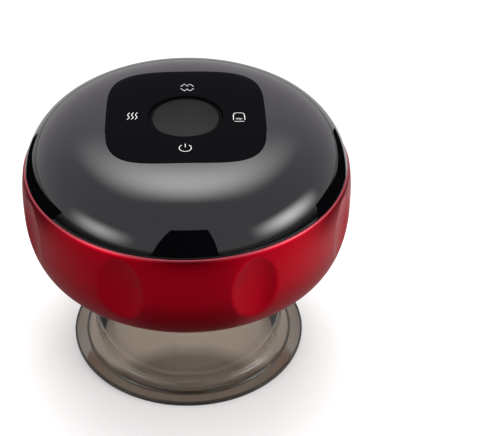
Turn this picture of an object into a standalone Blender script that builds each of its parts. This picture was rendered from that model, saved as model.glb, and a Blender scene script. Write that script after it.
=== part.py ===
"""Electric cupping massager, modelled as the separate pieces that it is assembled from.

Metres, +Z up. The origin is the centre of the cup's rim, on the surface that it stands on.
-Y is the front, where the power symbol is, and +Y is the back, with the charging socket.
"""

import math

import bmesh
import bpy
from mathutils import Matrix, Vector

# Clearances that every piece shares
gap = 0.0003
cut_overrun = 0.002
weld_depth = 0.0006

# Head: a squashed ball of revolution, gloss cover above the seam and red housing below it
head_radius = 0.048
equator_height = 0.0523
crown_share = 0.577083
bowl_share = 0.379167
foot_share = 0.75
seam_rise = 0.0123
rim_lip = 0.0004
dome_side_power = 4.71
dome_top_power = 2.9
bowl_side_power = 2.93
bowl_foot_power = 2.26

# Lower housing
housing_wall = 0.0024
inner_edge_share = 0.75
dimple_edge_power = 0.7
dimple_count = 8
dimple_depth = 0.0013
dimple_half_angle = math.radians(7.9)
dimple_half_height = 0.0102
dimple_centre_rise = 0.0002
boss_radius = 0.0028
boss_bore_radius = 0.0011
boss_bore_depth = 0.009
vent_radius = 0.0007
port_slot_width = 0.011
port_slot_height = 0.0048

# Top cover, touch panel and display lens
cover_wall = 0.0022
skirt_depth = 0.004
skirt_wall = 0.0014
panel_width_share = 0.466667
panel_length_share = 0.49375
panel_facet_share = 0.72
panel_power = 4.0
panel_thickness = 0.0021
pad_thickness = 0.002
pad_room = 0.0038
window_radius = 0.0099
lens_thickness = 0.0008
lens_ledge = 0.0009

# Cup
cup_neck_share = 0.5625
cup_wall = 0.002
cup_draft = 0.0005
neck_reach = 0.0119
cup_flange_width = 0.0047
cup_flange_thickness = 0.0014
cup_flare = 0.0045
cup_fillet = 0.0036
cup_edge_round = 0.0004

# Quarter-turn lock: lugs on the cup's neck ride on sloping ledges in the socket
lug_count = 4
lug_half_angle = math.radians(6)
lug_stand = 0.0016
lug_height = 0.0016
lug_below_top = 0.0004
lock_turn = math.radians(50)
lock_drop = 0.006
ledge_height = 0.0009
ledge_end_margin = math.radians(3)
stop_angle = math.radians(3)
socket_wall = 0.0023

# Neck seal
seal_thickness = 0.0015
seal_overhang = 0.0004

# Lamp hub inside the cup's neck
hub_room = 0.0005
hub_wall = 0.0014
hub_hang = 0.0187
hub_floor_thickness = 0.002
hub_flange_thickness = 0.002
plate_width = 0.0075
well_wall = 0.0015
well_depth = 0.0107
well_roof = 0.002
well_width = 0.0058
post_wall = 0.0022
post_hang = 0.0111
post_shoulder = 0.0022

# Suction plate
plate_thickness = 0.0014
plate_edge_round = 0.0004
suction_hole_radius = 0.001
suction_angle = math.radians(45)

# Heating disc, film and thermistor
disc_inset = 0.001
disc_thickness = 0.0017
disc_stand = 0.0003
disc_edge_round = 0.0004
film_room = 0.002
film_thickness = 0.0004
thermistor_radius = 0.0009
thermistor_length = 0.0032

# Red light windows, board and lamps
light_window_width = 0.0028
light_window_half_angle = math.radians(35)
light_window_lip = 0.0007
light_window_lip_thickness = 0.0007
led_board_thickness = 0.0012
led_board_overlap = 0.0012
led_length = 0.0035
led_width = 0.0028
led_height = 0.0006
led_half_spacing = math.radians(17)

# Inner frame
frame_room = 0.005
frame_thickness = 0.0014
frame_centre_hole = 0.006
tower_radius = 0.0026
tower_bore_radius = 0.001
tower_bore_depth = 0.007
tower_room = 0.002
tower_shift = 0.0104
saddle_thickness = 0.002
saddle_height = 0.005
saddle_share = 0.75

# Battery cell, as thick as the room between frame and board allows
battery_length_share = 1.354167
battery_cap_radius = 0.0035
battery_cap_height = 0.0008
battery_saddle_share = 0.677

# Air pump: motor, crank, wobble plate, diaphragm and valve cap, all on one line along X
pump_slimness = 0.0002
motor_back_share = 0.729167
motor_nose_share = 0.333
motor_nose_length = 0.001
motor_edge = 0.0006
motor_bore_share = 0.4
shaft_radius = 0.001
shaft_reach_share = 0.35
pump_base_length = 0.01
pump_base_floor = 0.0015
pump_base_wall_share = 0.1556
crank_share = 0.444
crank_length_share = 0.36
crank_floor_clearance = 0.0005
crank_pin_radius = 0.0006
crank_pin_length_share = 0.35
crank_pin_seat_share = 0.62
wobble_angle = math.radians(5)
wobble_share = 0.689
wobble_thickness_share = 0.14
wobble_hub_share = 0.211
wobble_hub_length_share = 0.12
wobble_setback_share = 0.1
wobble_notch_share = 0.2
diaphragm_thickness = 0.001
diaphragm_cup_count = 3
diaphragm_cup_share = 0.2444
diaphragm_circle_share = 0.4667
diaphragm_cup_height = 0.0006
pump_cap_length = 0.008
pump_cap_wall_share = 0.1667
pump_cap_pocket = 0.002
exhaust_share = 0.5

# Silicone tubes and the nipples that they are pushed onto
tube_outer_radius = 0.002
tube_bore_radius = 0.0012
nipple_radius = 0.0009
nipple_bore_radius = 0.00045
nipple_share = 0.375
pump_tube_share = 2.963
manifold_share = 0.32

# Release valve
valve_length = 0.02
valve_width_share = 1.087
valve_x = 0.002
valve_room = 0.0022
valve_bore_share = 0.27
valve_end_wall = 0.0015
valve_vent_radius = 0.0006
plunger_length = 0.0105
plunger_nose_share = 0.444
plunger_nose_length = 0.0012
valve_spring_share = 0.667
valve_spring_wire = 0.0002
valve_spring_turns = 5

# Main board, display, sensor and touch springs
board_share = 0.75
board_thickness = 0.0012
board_over_battery = 0.0004
display_room = 0.0005
display_radius = 0.0084
display_height = 0.0044
display_base_half = 0.0088
display_base_height = 0.0022
sensor_half = 0.0035
sensor_share = 0.37
touch_spring_radius = 0.0032
touch_spring_taper = 0.0008
touch_spring_wire = 0.00025
touch_spring_turns = 2.5
touch_front_share = 0.7173
touch_back_share = 0.5992
touch_side_share = 0.6696

# Charging socket and its small board
usb_width = 0.00894
usb_height = 0.0032
usb_depth = 0.0073
usb_mouth_width = 0.00834
usb_mouth_height = 0.00256
usb_mouth_depth = 0.005
usb_tongue_width = 0.0067
usb_tongue_thickness = 0.0007
usb_tongue_length = 0.0042
usb_setback = 0.0017
usb_board_width = 0.014
usb_board_length = 0.0078
usb_board_thickness = 0.001

# Screws
screw_head_radius = 0.0022
screw_head_height = 0.0013
screw_shank_radius = 0.0007
frame_screw_length = 0.008
board_screw_length = 0.006
screw_crown_share = 0.75
screw_slot_width = 0.0006
screw_slot_depth = 0.0005

# Leads inside the head
lead_radius = 0.0006
lead_reach = 0.0022
lead_bend = 0.0016
lead_lane_share = 0.4

# How finely round shapes are divided
housing_columns = 80
cover_columns = 48
cup_columns = 48
hub_columns = 32
round_columns = 24
small_columns = 12
tiny_columns = 8
column_twist = math.radians(4)

# Sizes and places that follow from the sizes above, first up and then outwards
crown_rise = head_radius * crown_share
bowl_drop = head_radius * bowl_share
foot_radius = head_radius * foot_share
seam_height = equator_height + seam_rise
housing_bottom = equator_height - bowl_drop
housing_floor_top = housing_bottom + housing_wall
cup_height = housing_bottom + neck_reach
socket_bottom = housing_floor_top + gap
seal_bottom = cup_height + gap
hub_flange_bottom = seal_bottom + seal_thickness + gap
hub_flange_top = hub_flange_bottom + hub_flange_thickness
socket_top = hub_flange_bottom - gap
lug_bottom = cup_height - lug_below_top - lug_height
hub_floor_height = cup_height - hub_hang
hub_roof_bottom = hub_floor_height + well_depth
hub_roof_top = hub_roof_bottom + well_roof
post_end_height = hub_floor_height - post_hang
post_top = hub_roof_top + post_shoulder
frame_bottom = hub_flange_top + gap
frame_top = frame_bottom + frame_thickness
crown_height = equator_height + crown_rise
panel_floor = crown_height - panel_thickness - gap
pad_bottom = panel_floor - pad_thickness
board_top = panel_floor - display_room - display_height - gap
board_bottom = board_top - board_thickness
battery_radius = (board_bottom - board_over_battery - frame_top) / 2 - gap
battery_height = frame_top + 2 * gap + battery_radius
pump_radius = battery_radius - pump_slimness
pump_height = frame_top + 2 * gap + pump_radius
valve_width = battery_radius * valve_width_share
valve_height = frame_top + gap + valve_width / 2
valve_bore_radius = valve_width * valve_bore_share
plunger_nose_radius = valve_bore_radius * plunger_nose_share
valve_spring_radius = valve_bore_radius * valve_spring_share
manifold_half = valve_width * manifold_share
sensor_height = battery_radius * sensor_share
nipple_room = board_bottom - gap - sensor_height - valve_height - manifold_half
nipple_length = nipple_room * nipple_share
pump_tube_run = nipple_length * pump_tube_share
usb_board_top = frame_top + gap + usb_board_thickness
usb_bottom = usb_board_top + gap
usb_height_centre = usb_bottom + usb_height / 2

cup_inner_radius = head_radius * cup_neck_share
cup_top_radius = cup_inner_radius + cup_wall
cup_mouth_radius = cup_inner_radius + cup_flare
cup_flange_radius = cup_mouth_radius + cup_flange_width
lug_radius = cup_top_radius + lug_stand
socket_inner_radius = lug_radius + gap
socket_outer_radius = socket_inner_radius + socket_wall
ledge_inner_radius = cup_top_radius + cup_draft + gap
neck_opening_radius = socket_inner_radius + gap
hub_flange_radius = socket_outer_radius + gap
hub_radius = cup_inner_radius - hub_room
well_radius = hub_radius - plate_width
post_radius = well_radius - well_width
post_bore_radius = post_radius - post_wall
film_radius = post_bore_radius - film_room
led_board_radius = well_radius + led_board_overlap
hub_pocket_inner = well_radius + well_wall
hub_pocket_outer = hub_radius - hub_wall
suction_circle_radius = (hub_pocket_inner + hub_pocket_outer) / 2
suction_x = suction_circle_radius * math.cos(suction_angle)
suction_y = suction_circle_radius * math.sin(suction_angle)
frame_radius = head_radius - frame_room
boss_circle_radius = (socket_outer_radius + frame_radius) / 2
vent_circle_radius = boss_circle_radius
panel_half_width = head_radius * panel_width_share
panel_half_length = head_radius * panel_length_share
pad_radius = panel_half_length + pad_room
board_radius = head_radius * board_share
touch_front = panel_half_length * touch_front_share
touch_back = panel_half_length * touch_back_share
touch_side = panel_half_width * touch_side_share
usb_front = head_radius - usb_setback
valve_side_offset = frame_radius - usb_board_length - valve_width / 2
pump_side_offset = valve_side_offset - valve_width / 2 - valve_room - pump_radius
battery_side_offset = pump_side_offset
battery_length = head_radius * battery_length_share
battery_saddle_spacing = battery_length * battery_saddle_share

pump_cap_end = suction_x - manifold_half - pump_tube_run
pump_cap_x = pump_cap_end - pump_cap_length
diaphragm_x = pump_cap_x - gap - diaphragm_thickness
pump_base_end = diaphragm_x - gap
pump_base_x = pump_base_end - pump_base_length
motor_back_x = -head_radius * motor_back_share
motor_length = pump_base_x - gap - motor_back_x
motor_bore_depth = motor_length * motor_bore_share
shaft_reach = pump_base_length * shaft_reach_share
crank_length = pump_base_length * crank_length_share
crank_pin_length = pump_base_length * crank_pin_length_share
wobble_thickness = pump_base_length * wobble_thickness_share
wobble_hub_length = pump_base_length * wobble_hub_length_share
wobble_setback = pump_base_length * wobble_setback_share
wobble_centre_x = diaphragm_x - diaphragm_cup_height
crank_x = pump_base_x + pump_base_floor + crank_floor_clearance
motor_nose_radius = pump_radius * motor_nose_share
pump_base_wall = pump_radius * pump_base_wall_share
crank_radius = pump_radius * crank_share
wobble_radius = pump_radius * wobble_share
wobble_hub_radius = pump_radius * wobble_hub_share
wobble_notch_radius = pump_radius * wobble_notch_share
diaphragm_cup_radius = pump_radius * diaphragm_cup_share
diaphragm_cup_circle = pump_radius * diaphragm_circle_share
pump_cap_wall = pump_radius * pump_cap_wall_share
exhaust_rise = pump_radius * exhaust_share
lead_side_room = (pump_side_offset - pump_radius) * lead_lane_share

scene = bpy.context.scene
for old in list(bpy.data.objects):
    bpy.data.objects.remove(old, do_unlink=True)


def material(name, colour, roughness, metallic=0.0, alpha=1.0):
    """A Principled material in the piece's own colour."""
    made = bpy.data.materials.new(name)
    made.use_nodes = True
    shader = made.node_tree.nodes["Principled BSDF"]
    shader.inputs["Base Color"].default_value = (*colour, 1.0)
    shader.inputs["Roughness"].default_value = roughness
    shader.inputs["Metallic"].default_value = metallic
    shader.inputs["Alpha"].default_value = alpha
    made.diffuse_color = (*colour, alpha)
    return made


def make_object(name, bm, paint=None, place=None):
    """Turns a bmesh into an object at a place, with smooth sides and sharp edges."""
    bmesh.ops.recalc_face_normals(bm, faces=bm.faces)
    mesh = bpy.data.meshes.new(name)
    bm.to_mesh(mesh)
    bm.free()
    mesh.shade_smooth()
    mesh.set_sharp_from_angle(angle=math.radians(35))
    obj = bpy.data.objects.new(name, mesh)
    scene.collection.objects.link(obj)
    if paint:
        mesh.materials.append(paint)
    if place:
        obj.matrix_world = place
    return obj


def turned(profile, steps):
    """A solid turned about Z from a closed outline of (radius, height) points."""
    bm = bmesh.new()
    points = [bm.verts.new((radius, 0, height)) for radius, height in profile]
    edges = [bm.edges.new(pair) for pair in zip(points, points[1:])]
    if profile[0][0] or profile[-1][0]:
        edges.append(bm.edges.new((points[-1], points[0])))
    bmesh.ops.spin(
        bm,
        geom=points + edges,
        cent=(0, 0, 0),
        axis=(0, 0, 1),
        angle=math.tau,
        steps=steps,
        use_merge=True,
    )
    bmesh.ops.remove_doubles(bm, verts=bm.verts, dist=gap / 1000)
    return bm


def rod(radius, start, end, steps=small_columns):
    """A plain cylinder about Z, its corners turned off the lines of what it meets."""
    bm = turned([(0, start), (radius, start), (radius, end), (0, end)], steps)
    twist = Matrix.Rotation(column_twist, 3, "Z")
    bmesh.ops.rotate(bm, cent=(0, 0, 0), matrix=twist, verts=bm.verts)
    return bm


def ring(inner, outer, start, end, steps=round_columns):
    """A flat-ended ring about Z."""
    return turned([(inner, start), (outer, start), (outer, end), (inner, end)], steps)


def block(low, high):
    """A box between two corners."""
    bm = bmesh.new()
    bmesh.ops.create_cube(bm, size=1)
    for vert in bm.verts:
        vert.co = Vector(
            [high[k] if vert.co[k] > 0 else low[k] for k in range(len(low))]
        )
    return bm


def loft(sections, round_trip=False):
    """A closed solid through loops of points, capped at both ends or joined round."""
    bm = bmesh.new()
    loops = [[bm.verts.new(point) for point in section] for section in sections]
    pairs = list(zip(loops, loops[1:]))
    if round_trip:
        pairs.append((loops[-1], loops[0]))
    else:
        bm.faces.new(loops[0])
        bm.faces.new(loops[-1])
    for near, far in pairs:
        for k, vert in enumerate(near):
            bm.faces.new((near[k - 1], vert, far[k], far[k - 1]))
    return bm


def polar(radius, angle, height):
    return Vector((radius * math.cos(angle), radius * math.sin(angle), height))


def arc_bar(inner, outer, stations):
    """A bar bent about Z. Each station is its (angle, low height, high height)."""
    return loft(
        [
            [
                polar(inner, angle, low),
                polar(outer, angle, low),
                polar(outer, angle, high),
                polar(inner, angle, high),
            ]
            for angle, low, high in stations
        ]
    )


def arc_block(inner, outer, low, high, centre, half_angle, steps=8):
    """A piece of a flat ring."""
    angles = [centre + half_angle * (2 * k / steps - 1) for k in range(steps + 1)]
    return arc_bar(inner, outer, [(angle, low, high) for angle in angles])


def hollow_tube(path, outer, bore, sides=tiny_columns):
    """A tube with a bore along a list of points."""
    directions = [
        (path[min(k + 1, len(path) - 1)] - path[max(k - 1, 0)]).normalized()
        for k in range(len(path))
    ]
    across = directions[0].orthogonal().normalized()
    frames = []
    for direction in directions:
        across = (across - direction * across.dot(direction)).normalized()
        frames.append((across, direction.cross(across)))
    sections = []
    for side in range(sides):
        angle = math.tau * side / sides
        spokes = [u * math.cos(angle) + v * math.sin(angle) for u, v in frames]
        outside = [point + spoke * outer for point, spoke in zip(path, spokes)]
        inside = [point + spoke * bore for point, spoke in zip(path, spokes)]
        sections.append(outside + inside[::-1])
    return loft(sections, round_trip=True)


def wire(name, points, radius, paint, resolution=1):
    """A wire or lead: a curve with a round bevel and filled ends."""
    curve = bpy.data.curves.new(name, "CURVE")
    curve.dimensions = "3D"
    curve.bevel_depth = radius
    curve.bevel_resolution = resolution
    curve.use_fill_caps = True
    spline = curve.splines.new("POLY")
    spline.points.add(len(points) - 1)
    for target, point in zip(spline.points, points):
        target.co = (*point, 1)
    curve.materials.append(paint)
    obj = bpy.data.objects.new(name, curve)
    scene.collection.objects.link(obj)
    return obj


def combine(target, helper, operation):
    """Cuts or joins a helper, which stays in the scene as a wire outline."""
    helper.hide_render = True
    helper.display_type = "WIRE"
    modifier = target.modifiers.new(helper.name, "BOOLEAN")
    modifier.object = helper
    modifier.operation = operation
    modifier.solver = "EXACT"


def cut(target, name, bm, place=None):
    combine(target, make_object(name, bm, place=place), "DIFFERENCE")


def join(target, name, bm, place=None):
    combine(target, make_object(name, bm, place=place), "UNION")


def at(x, y, z):
    return Matrix.Translation((x, y, z))


def along_x(x, y, z, tilt=0.0):
    """Stands local +Z along +X, tilted down towards -Z by an angle."""
    return at(x, y, z) @ Matrix.Rotation(math.pi / 2 + tilt, 4, "Y")


def head_point(angle, inset):
    """The head's outline above the widest line, moved inwards by an inset."""
    radius = (head_radius - inset) * math.cos(angle) ** (2 / dome_side_power)
    rise = (crown_rise - inset) * math.sin(angle) ** (2 / dome_top_power)
    return radius, equator_height + rise


def head_angle(rise, inset):
    """The outline's angle at a rise above the widest line."""
    return math.asin((rise / (crown_rise - inset)) ** (dome_top_power / 2))


def crown_at(radius):
    """The height of the crown at a radius."""
    across = (radius / (head_radius - rim_lip)) ** (dome_side_power / 2)
    return equator_height + crown_rise * (1 - across**2) ** (1 / dome_top_power)


def bowl_point(angle, inset):
    """The head's outline below the widest line, moved inwards by an inset."""
    width = head_radius - foot_radius - inset
    radius = foot_radius + width * math.cos(angle) ** (2 / bowl_side_power)
    drop = (bowl_drop - inset) * math.sin(angle) ** (2 / bowl_foot_power)
    return radius, equator_height - drop


def spread(start, end, steps):
    return [start + (end - start) * k / steps for k in range(steps + 1)]


def squircle(half_x, half_y, columns):
    """Points round the panel's outline, a square with full corners."""
    points = []
    for k in range(columns):
        angle = math.tau * (k + 0.5) / columns
        c, s = math.cos(angle), math.sin(angle)
        x = math.copysign(abs(c) ** (2 / panel_power), c)
        y = math.copysign(abs(s) ** (2 / panel_power), s)
        points.append((half_x * x, half_y * y))
    return points


def boss_places():
    angles = [math.pi / 4 + math.pi / 2 * k for k in range(4)]
    return [polar(boss_circle_radius, angle, 0) for angle in angles]


def tower_places():
    """Where the main board stands on the frame, clear of battery, pump and valve."""
    front = battery_side_offset + battery_radius + tower_radius + tower_room
    back = pump_side_offset + pump_radius + tower_radius + tower_room
    side = battery_length / 4 + gap
    return [
        Vector((-side, -front, 0)),
        Vector((side, -front, 0)),
        Vector((-side - tower_radius, back, 0)),
        Vector((side + tower_shift, back - tower_shift, 0)),
    ]


def make_lower_housing():
    """Red moulded bowl with eight finger dimples, open at the top and at the neck."""
    outside = [bowl_point(a, 0) for a in spread(math.pi / 2, 0, 8)]
    outside += [head_point(a, 0) for a in spread(0, head_angle(seam_rise, 0), 3)][1:]
    top_angle = head_angle(seam_rise, housing_wall)
    inside = [head_point(a, housing_wall) for a in spread(top_angle, 0, 1)]
    inside += [bowl_point(a, housing_wall) for a in spread(0, math.pi / 2, 3)][1:]
    profile = [(neck_opening_radius, housing_bottom)] + outside + inside
    profile.append((neck_opening_radius, housing_floor_top))
    bm = turned(profile, housing_columns)
    press_dimples(bm)
    paint = material("red_metallic_paint", (0.36, 0.012, 0.022), 0.36, 0.55)
    housing = make_object("lower_housing", bm, paint)
    boss_top = frame_bottom - gap
    for k, place in enumerate(boss_places()):
        start = housing_floor_top - weld_depth
        join(housing, f"boss_{k}", rod(boss_radius, start, boss_top), at(*place))
    for k, place in enumerate(boss_places()):
        bore = rod(boss_bore_radius, boss_top - boss_bore_depth, boss_top + cut_overrun)
        cut(housing, f"boss_bore_{k}", bore, at(*place))
    cut_port_slot(housing)
    vent = rod(vent_radius, housing_bottom - cut_overrun, housing_floor_top + cut_overrun)
    cut(housing, "vent_hole", vent, at(0, vent_circle_radius, 0))


def press_dimples(bm):
    """Pushes the outer wall in at each finger dimple."""
    centre_height = equator_height + dimple_centre_rise
    pitch = math.tau / dimple_count
    for vert in bm.verts:
        radius = math.hypot(vert.co.x, vert.co.y)
        if radius < head_radius - housing_wall * inner_edge_share:
            continue
        angle = math.atan2(vert.co.y, vert.co.x)
        from_centre = angle % pitch - pitch / 2
        u = from_centre / dimple_half_angle
        v = (vert.co.z - centre_height) / dimple_half_height
        inside = 1 - u * u - v * v
        if inside > 0:
            scale = 1 - dimple_depth * inside**dimple_edge_power / radius
            vert.co.x *= scale
            vert.co.y *= scale


def cut_port_slot(housing):
    """The opening for the charging plug, at the back."""
    half = port_slot_width / 2 - port_slot_height / 2
    outline = []
    for side in (1, -1):
        for angle in spread(-math.pi / 2, math.pi / 2, 6):
            x = side * (half + port_slot_height / 2 * math.cos(angle))
            z = side * port_slot_height / 2 * math.sin(angle)
            outline.append((x, z + usb_height_centre))
    start = head_radius - 2 * housing_wall
    end = head_radius + cut_overrun
    sections = [[Vector((x, y, z)) for x, z in outline] for y in (start, end)]
    cut(housing, "port_slot", loft(sections))


def make_top_cover():
    """Gloss dome with a recess for the touch panel and a skirt inside the housing."""
    edge = seam_height + gap
    skirt_outer = head_point(head_angle(seam_rise, housing_wall), housing_wall)[0] - gap
    skirt_inner = skirt_outer - skirt_wall
    skirt_bottom = edge - skirt_depth
    start = head_angle(edge - equator_height, rim_lip)
    hole = window_radius - lens_ledge
    outside = [dome_point(a) for a in spread(start, math.pi / 2, 8)[:-1]]
    outside.append((hole, crown_at(hole)))
    inset = rim_lip + cover_wall
    low = head_angle(edge - equator_height + cover_wall / 2, inset)
    inside = [head_point(a, inset) for a in spread(math.pi / 2, low, 9)]
    inside = [point for point in inside if point[0] > pad_radius + gap]
    profile = [(skirt_outer, skirt_bottom), (skirt_outer, edge)]
    profile += outside
    profile += [(hole, pad_bottom), (pad_radius, pad_bottom)]
    profile += inside
    profile += [(skirt_inner, inside[-1][1]), (skirt_inner, skirt_bottom)]
    bm = turned(profile, cover_columns)
    paint = material("gloss_gunmetal", (0.055, 0.057, 0.062), 0.12, 0.35)
    cover = make_object("top_cover", bm, paint)
    recess = squircle(panel_half_width + gap, panel_half_length + gap, cover_columns)
    heights = (panel_floor, crown_height + cut_overrun)
    sections = [[Vector((x, y, z)) for x, y in recess] for z in heights]
    cut(cover, "panel_recess", loft(sections))


def turned_with_axis(profile, steps):
    """A turned solid whose outline meets the axis in the middle of its list."""
    first = next(k for k, point in enumerate(profile) if not point[0])
    second = first + 1
    while not profile[second][0]:
        second += 1
    return turned(profile[second - 1 :] + profile[: first + 1], steps)


def dome_point(angle):
    """The cover's outer outline, a lip's width inside the housing's rim."""
    radius = (head_radius - rim_lip) * math.cos(angle) ** (2 / dome_side_power)
    rise = crown_rise * math.sin(angle) ** (2 / dome_top_power)
    return radius, equator_height + rise


def make_touch_panel():
    """Black touch panel that follows the crown, with a round window."""
    outer = squircle(panel_half_width, panel_half_length, cover_columns)
    bottom = panel_floor + gap
    loops = []
    for share in (1, panel_facet_share):
        loops.append([(x * share, y * share) for x, y in outer])
    step = math.tau / cover_columns
    hole = [polar(window_radius, step * (k + 0.5), 0) for k in range(cover_columns)]
    sections = []
    for k in range(cover_columns):
        points = [loops[0][k], loops[1][k], (hole[k].x, hole[k].y)]
        top = [Vector((x, y, crown_at(math.hypot(x, y)))) for x, y in points]
        foot = [Vector((x, y, bottom)) for x, y in (points[-1], points[0])]
        sections.append(top + foot)
    bm = loft(sections, round_trip=True)
    make_object("touch_panel", bm, material("black_glass", (0.006, 0.006, 0.008), 0.1))


def make_display_lens():
    """Smoked round lens that lies on the cover's ledge under the panel's window."""
    bottom = panel_floor + gap
    bm = rod(window_radius - gap, bottom, bottom + lens_thickness, round_columns)
    paint = material("smoked_lens", (0.03, 0.03, 0.033), 0.15)
    make_object("display_lens", bm, paint)


def lock_slope(angle):
    """How far the thread falls over an angle."""
    return lock_drop * angle / lock_turn


def make_cup():
    """Smoked cup: a straight neck, a flared mouth and a flat flange that meets the skin."""
    wall_foot = cup_flange_thickness + cup_fillet
    outer_foot = cup_top_radius + cup_draft
    profile = [(cup_top_radius, cup_height), (cup_inner_radius, cup_height)]
    profile.append((cup_inner_radius + cup_draft, wall_foot))
    flare = cup_mouth_radius - cup_inner_radius - cup_draft
    for angle in spread(0, math.pi / 2, 3)[1:]:
        radius = cup_mouth_radius - flare * math.cos(angle)
        profile.append((radius, wall_foot * (1 - math.sin(angle))))
    profile.append((cup_flange_radius - cup_edge_round, 0))
    profile.append((cup_flange_radius, cup_edge_round))
    profile.append((cup_flange_radius, cup_flange_thickness - cup_edge_round))
    profile.append((cup_flange_radius - cup_edge_round, cup_flange_thickness))
    for angle in spread(0, math.pi / 2, 3):
        radius = outer_foot + cup_fillet * (1 - math.sin(angle))
        profile.append((radius, wall_foot - cup_fillet * math.cos(angle)))
    paint = material("smoked_clear_plastic", (0.16, 0.145, 0.115), 0.08, alpha=0.5)
    cup = make_object("cup", turned(profile, cup_columns), paint)
    for k in range(lug_count):
        centre = math.tau * k / lug_count
        stations = []
        for angle in spread(-lug_half_angle, lug_half_angle, 4):
            low = lug_bottom + lock_slope(angle)
            stations.append((centre + angle, low, lug_bottom + lug_height))
        inner = cup_top_radius - weld_depth
        join(cup, f"lug_{k}", arc_bar(inner, lug_radius, stations))


def make_cup_socket():
    """Ring in the housing's neck with four sloping ledges that carry the cup's lugs."""
    bm = ring(
        socket_inner_radius, socket_outer_radius, socket_bottom, socket_top, cup_columns
    )
    paint = material("black_plastic", (0.02, 0.02, 0.022), 0.4)
    socket = make_object("cup_socket", bm, paint)
    stop_start = lug_half_angle + gap / lug_radius
    last = -lock_turn + ledge_end_margin
    for k in range(lug_count):
        centre = math.tau * k / lug_count
        stations = []
        for angle in spread(last, stop_start, 8):
            top = lug_bottom - gap + lock_slope(angle)
            stations.append((centre + angle, top - ledge_height, top))
        for angle in (stop_start + stop_angle / 100, stop_start + stop_angle):
            low = lug_bottom - gap - ledge_height + lock_slope(angle)
            stations.append((centre + angle, low, lug_bottom + lug_height))
        outer = socket_inner_radius + weld_depth
        join(socket, f"ledge_{k}", arc_bar(ledge_inner_radius, outer, stations))


def make_cup_seal():
    """Silicone ring on the top edge of the cup's neck."""
    outer = cup_top_radius + seal_overhang
    bm = ring(cup_inner_radius, outer, seal_bottom, seal_bottom + seal_thickness, cup_columns)
    make_object("cup_seal", bm, material("grey_silicone", (0.25, 0.25, 0.26), 0.6))


def make_lamp_hub():
    """Black moulding in the cup's neck: a well for the red light round a hollow post."""
    counterbore = post_radius - disc_inset + gap
    shoulder = post_end_height - disc_stand + disc_thickness + gap
    profile = [
        (counterbore, post_end_height),
        (post_radius, post_end_height),
        (post_radius, hub_roof_bottom),
        (well_radius, hub_roof_bottom),
        (well_radius, hub_floor_height),
        (hub_radius, hub_floor_height),
        (hub_radius, hub_flange_bottom),
        (hub_flange_radius, hub_flange_bottom),
        (hub_flange_radius, hub_flange_top),
        (hub_pocket_outer, hub_flange_top),
        (hub_pocket_outer, hub_floor_height + hub_floor_thickness),
        (hub_pocket_inner, hub_floor_height + hub_floor_thickness),
        (hub_pocket_inner, hub_roof_top),
        (post_radius, hub_roof_top),
        (post_radius, post_top),
        (post_bore_radius, post_top),
        (post_bore_radius, shoulder),
        (counterbore, shoulder),
    ]
    paint = material("gloss_black", (0.008, 0.008, 0.009), 0.1)
    hub = make_object("lamp_hub", turned(profile, hub_columns), paint)
    hole_top = hub_floor_height + hub_floor_thickness + cut_overrun
    hole = rod(suction_hole_radius, hub_floor_height - cut_overrun, hole_top, tiny_columns)
    cut(hub, "hub_suction_hole", hole, at(suction_x, suction_y, 0))
    middle = (post_radius + well_radius) / 2
    reach = light_window_width / 2 + gap
    for side, centre in (("right", 0), ("left", math.pi)):
        bm = arc_block(
            middle - reach,
            middle + reach,
            hub_roof_bottom - cut_overrun / 4,
            hub_roof_top + cut_overrun / 4,
            centre,
            light_window_half_angle + gap / middle,
        )
        cut(hub, f"light_hole_{side}", bm)
        make_light_window(side, centre, middle)


def make_light_window(side, centre, middle):
    """Red window in the roof of the well, with a lip that lies on the roof."""
    half = light_window_width / 2
    lip = half + light_window_lip
    lip_bottom = hub_roof_top + gap
    angles = spread(centre - light_window_half_angle, centre + light_window_half_angle, 8)
    sections = []
    for angle in angles:
        outline = [
            (middle - half, hub_roof_bottom),
            (middle + half, hub_roof_bottom),
            (middle + half, lip_bottom),
            (middle + lip, lip_bottom),
            (middle + lip, lip_bottom + light_window_lip_thickness),
            (middle - lip, lip_bottom + light_window_lip_thickness),
            (middle - lip, lip_bottom),
            (middle - half, lip_bottom),
        ]
        sections.append([polar(radius, angle, height) for radius, height in outline])
    paint = material(f"red_window_{side}", (0.6, 0.01, 0.01), 0.2)
    make_object(f"red_window_{side}", loft(sections), paint)


def make_suction_plate():
    """Bright ring under the hub, with the hole that the air is drawn through."""
    top = hub_floor_height - gap
    low = top - plate_thickness
    inner = well_radius + gap
    outer = hub_radius - gap
    profile = [
        (inner, low + plate_edge_round),
        (inner + plate_edge_round, low),
        (outer - plate_edge_round, low),
        (outer, low + plate_edge_round),
        (outer, top),
        (inner, top),
    ]
    paint = material("bright_chrome", (0.75, 0.76, 0.78), 0.12, 1.0)
    plate = make_object("suction_plate", turned(profile, cup_columns), paint)
    hole = rod(suction_hole_radius, low - cut_overrun, top + cut_overrun, tiny_columns)
    cut(plate, "plate_suction_hole", hole, at(suction_x, suction_y, 0))


def make_heater():
    """White heating disc in the post's end, its film heater and the thermistor."""
    radius = post_radius - disc_inset
    low = post_end_height - disc_stand
    top = low + disc_thickness
    profile = [
        (0, low),
        (radius - disc_edge_round, low),
        (radius, low + disc_edge_round),
        (radius, top),
        (0, top),
    ]
    paint = material("white_disc", (0.85, 0.85, 0.83), 0.35)
    make_object("heating_disc", turned(profile, round_columns), paint)
    film_low = top + gap
    film_top = film_low + film_thickness
    paint = material("amber_film", (0.55, 0.27, 0.05), 0.4)
    make_object("heater_film", rod(film_radius, film_low, film_top, round_columns), paint)
    half = thermistor_length / 2
    bm = rod(thermistor_radius, -half, half, tiny_columns)
    height = film_top + gap + thermistor_radius
    paint = material("thermistor_bead", (0.05, 0.05, 0.05), 0.5)
    make_object("thermistor", bm, paint, along_x(0, 0, height))


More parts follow.
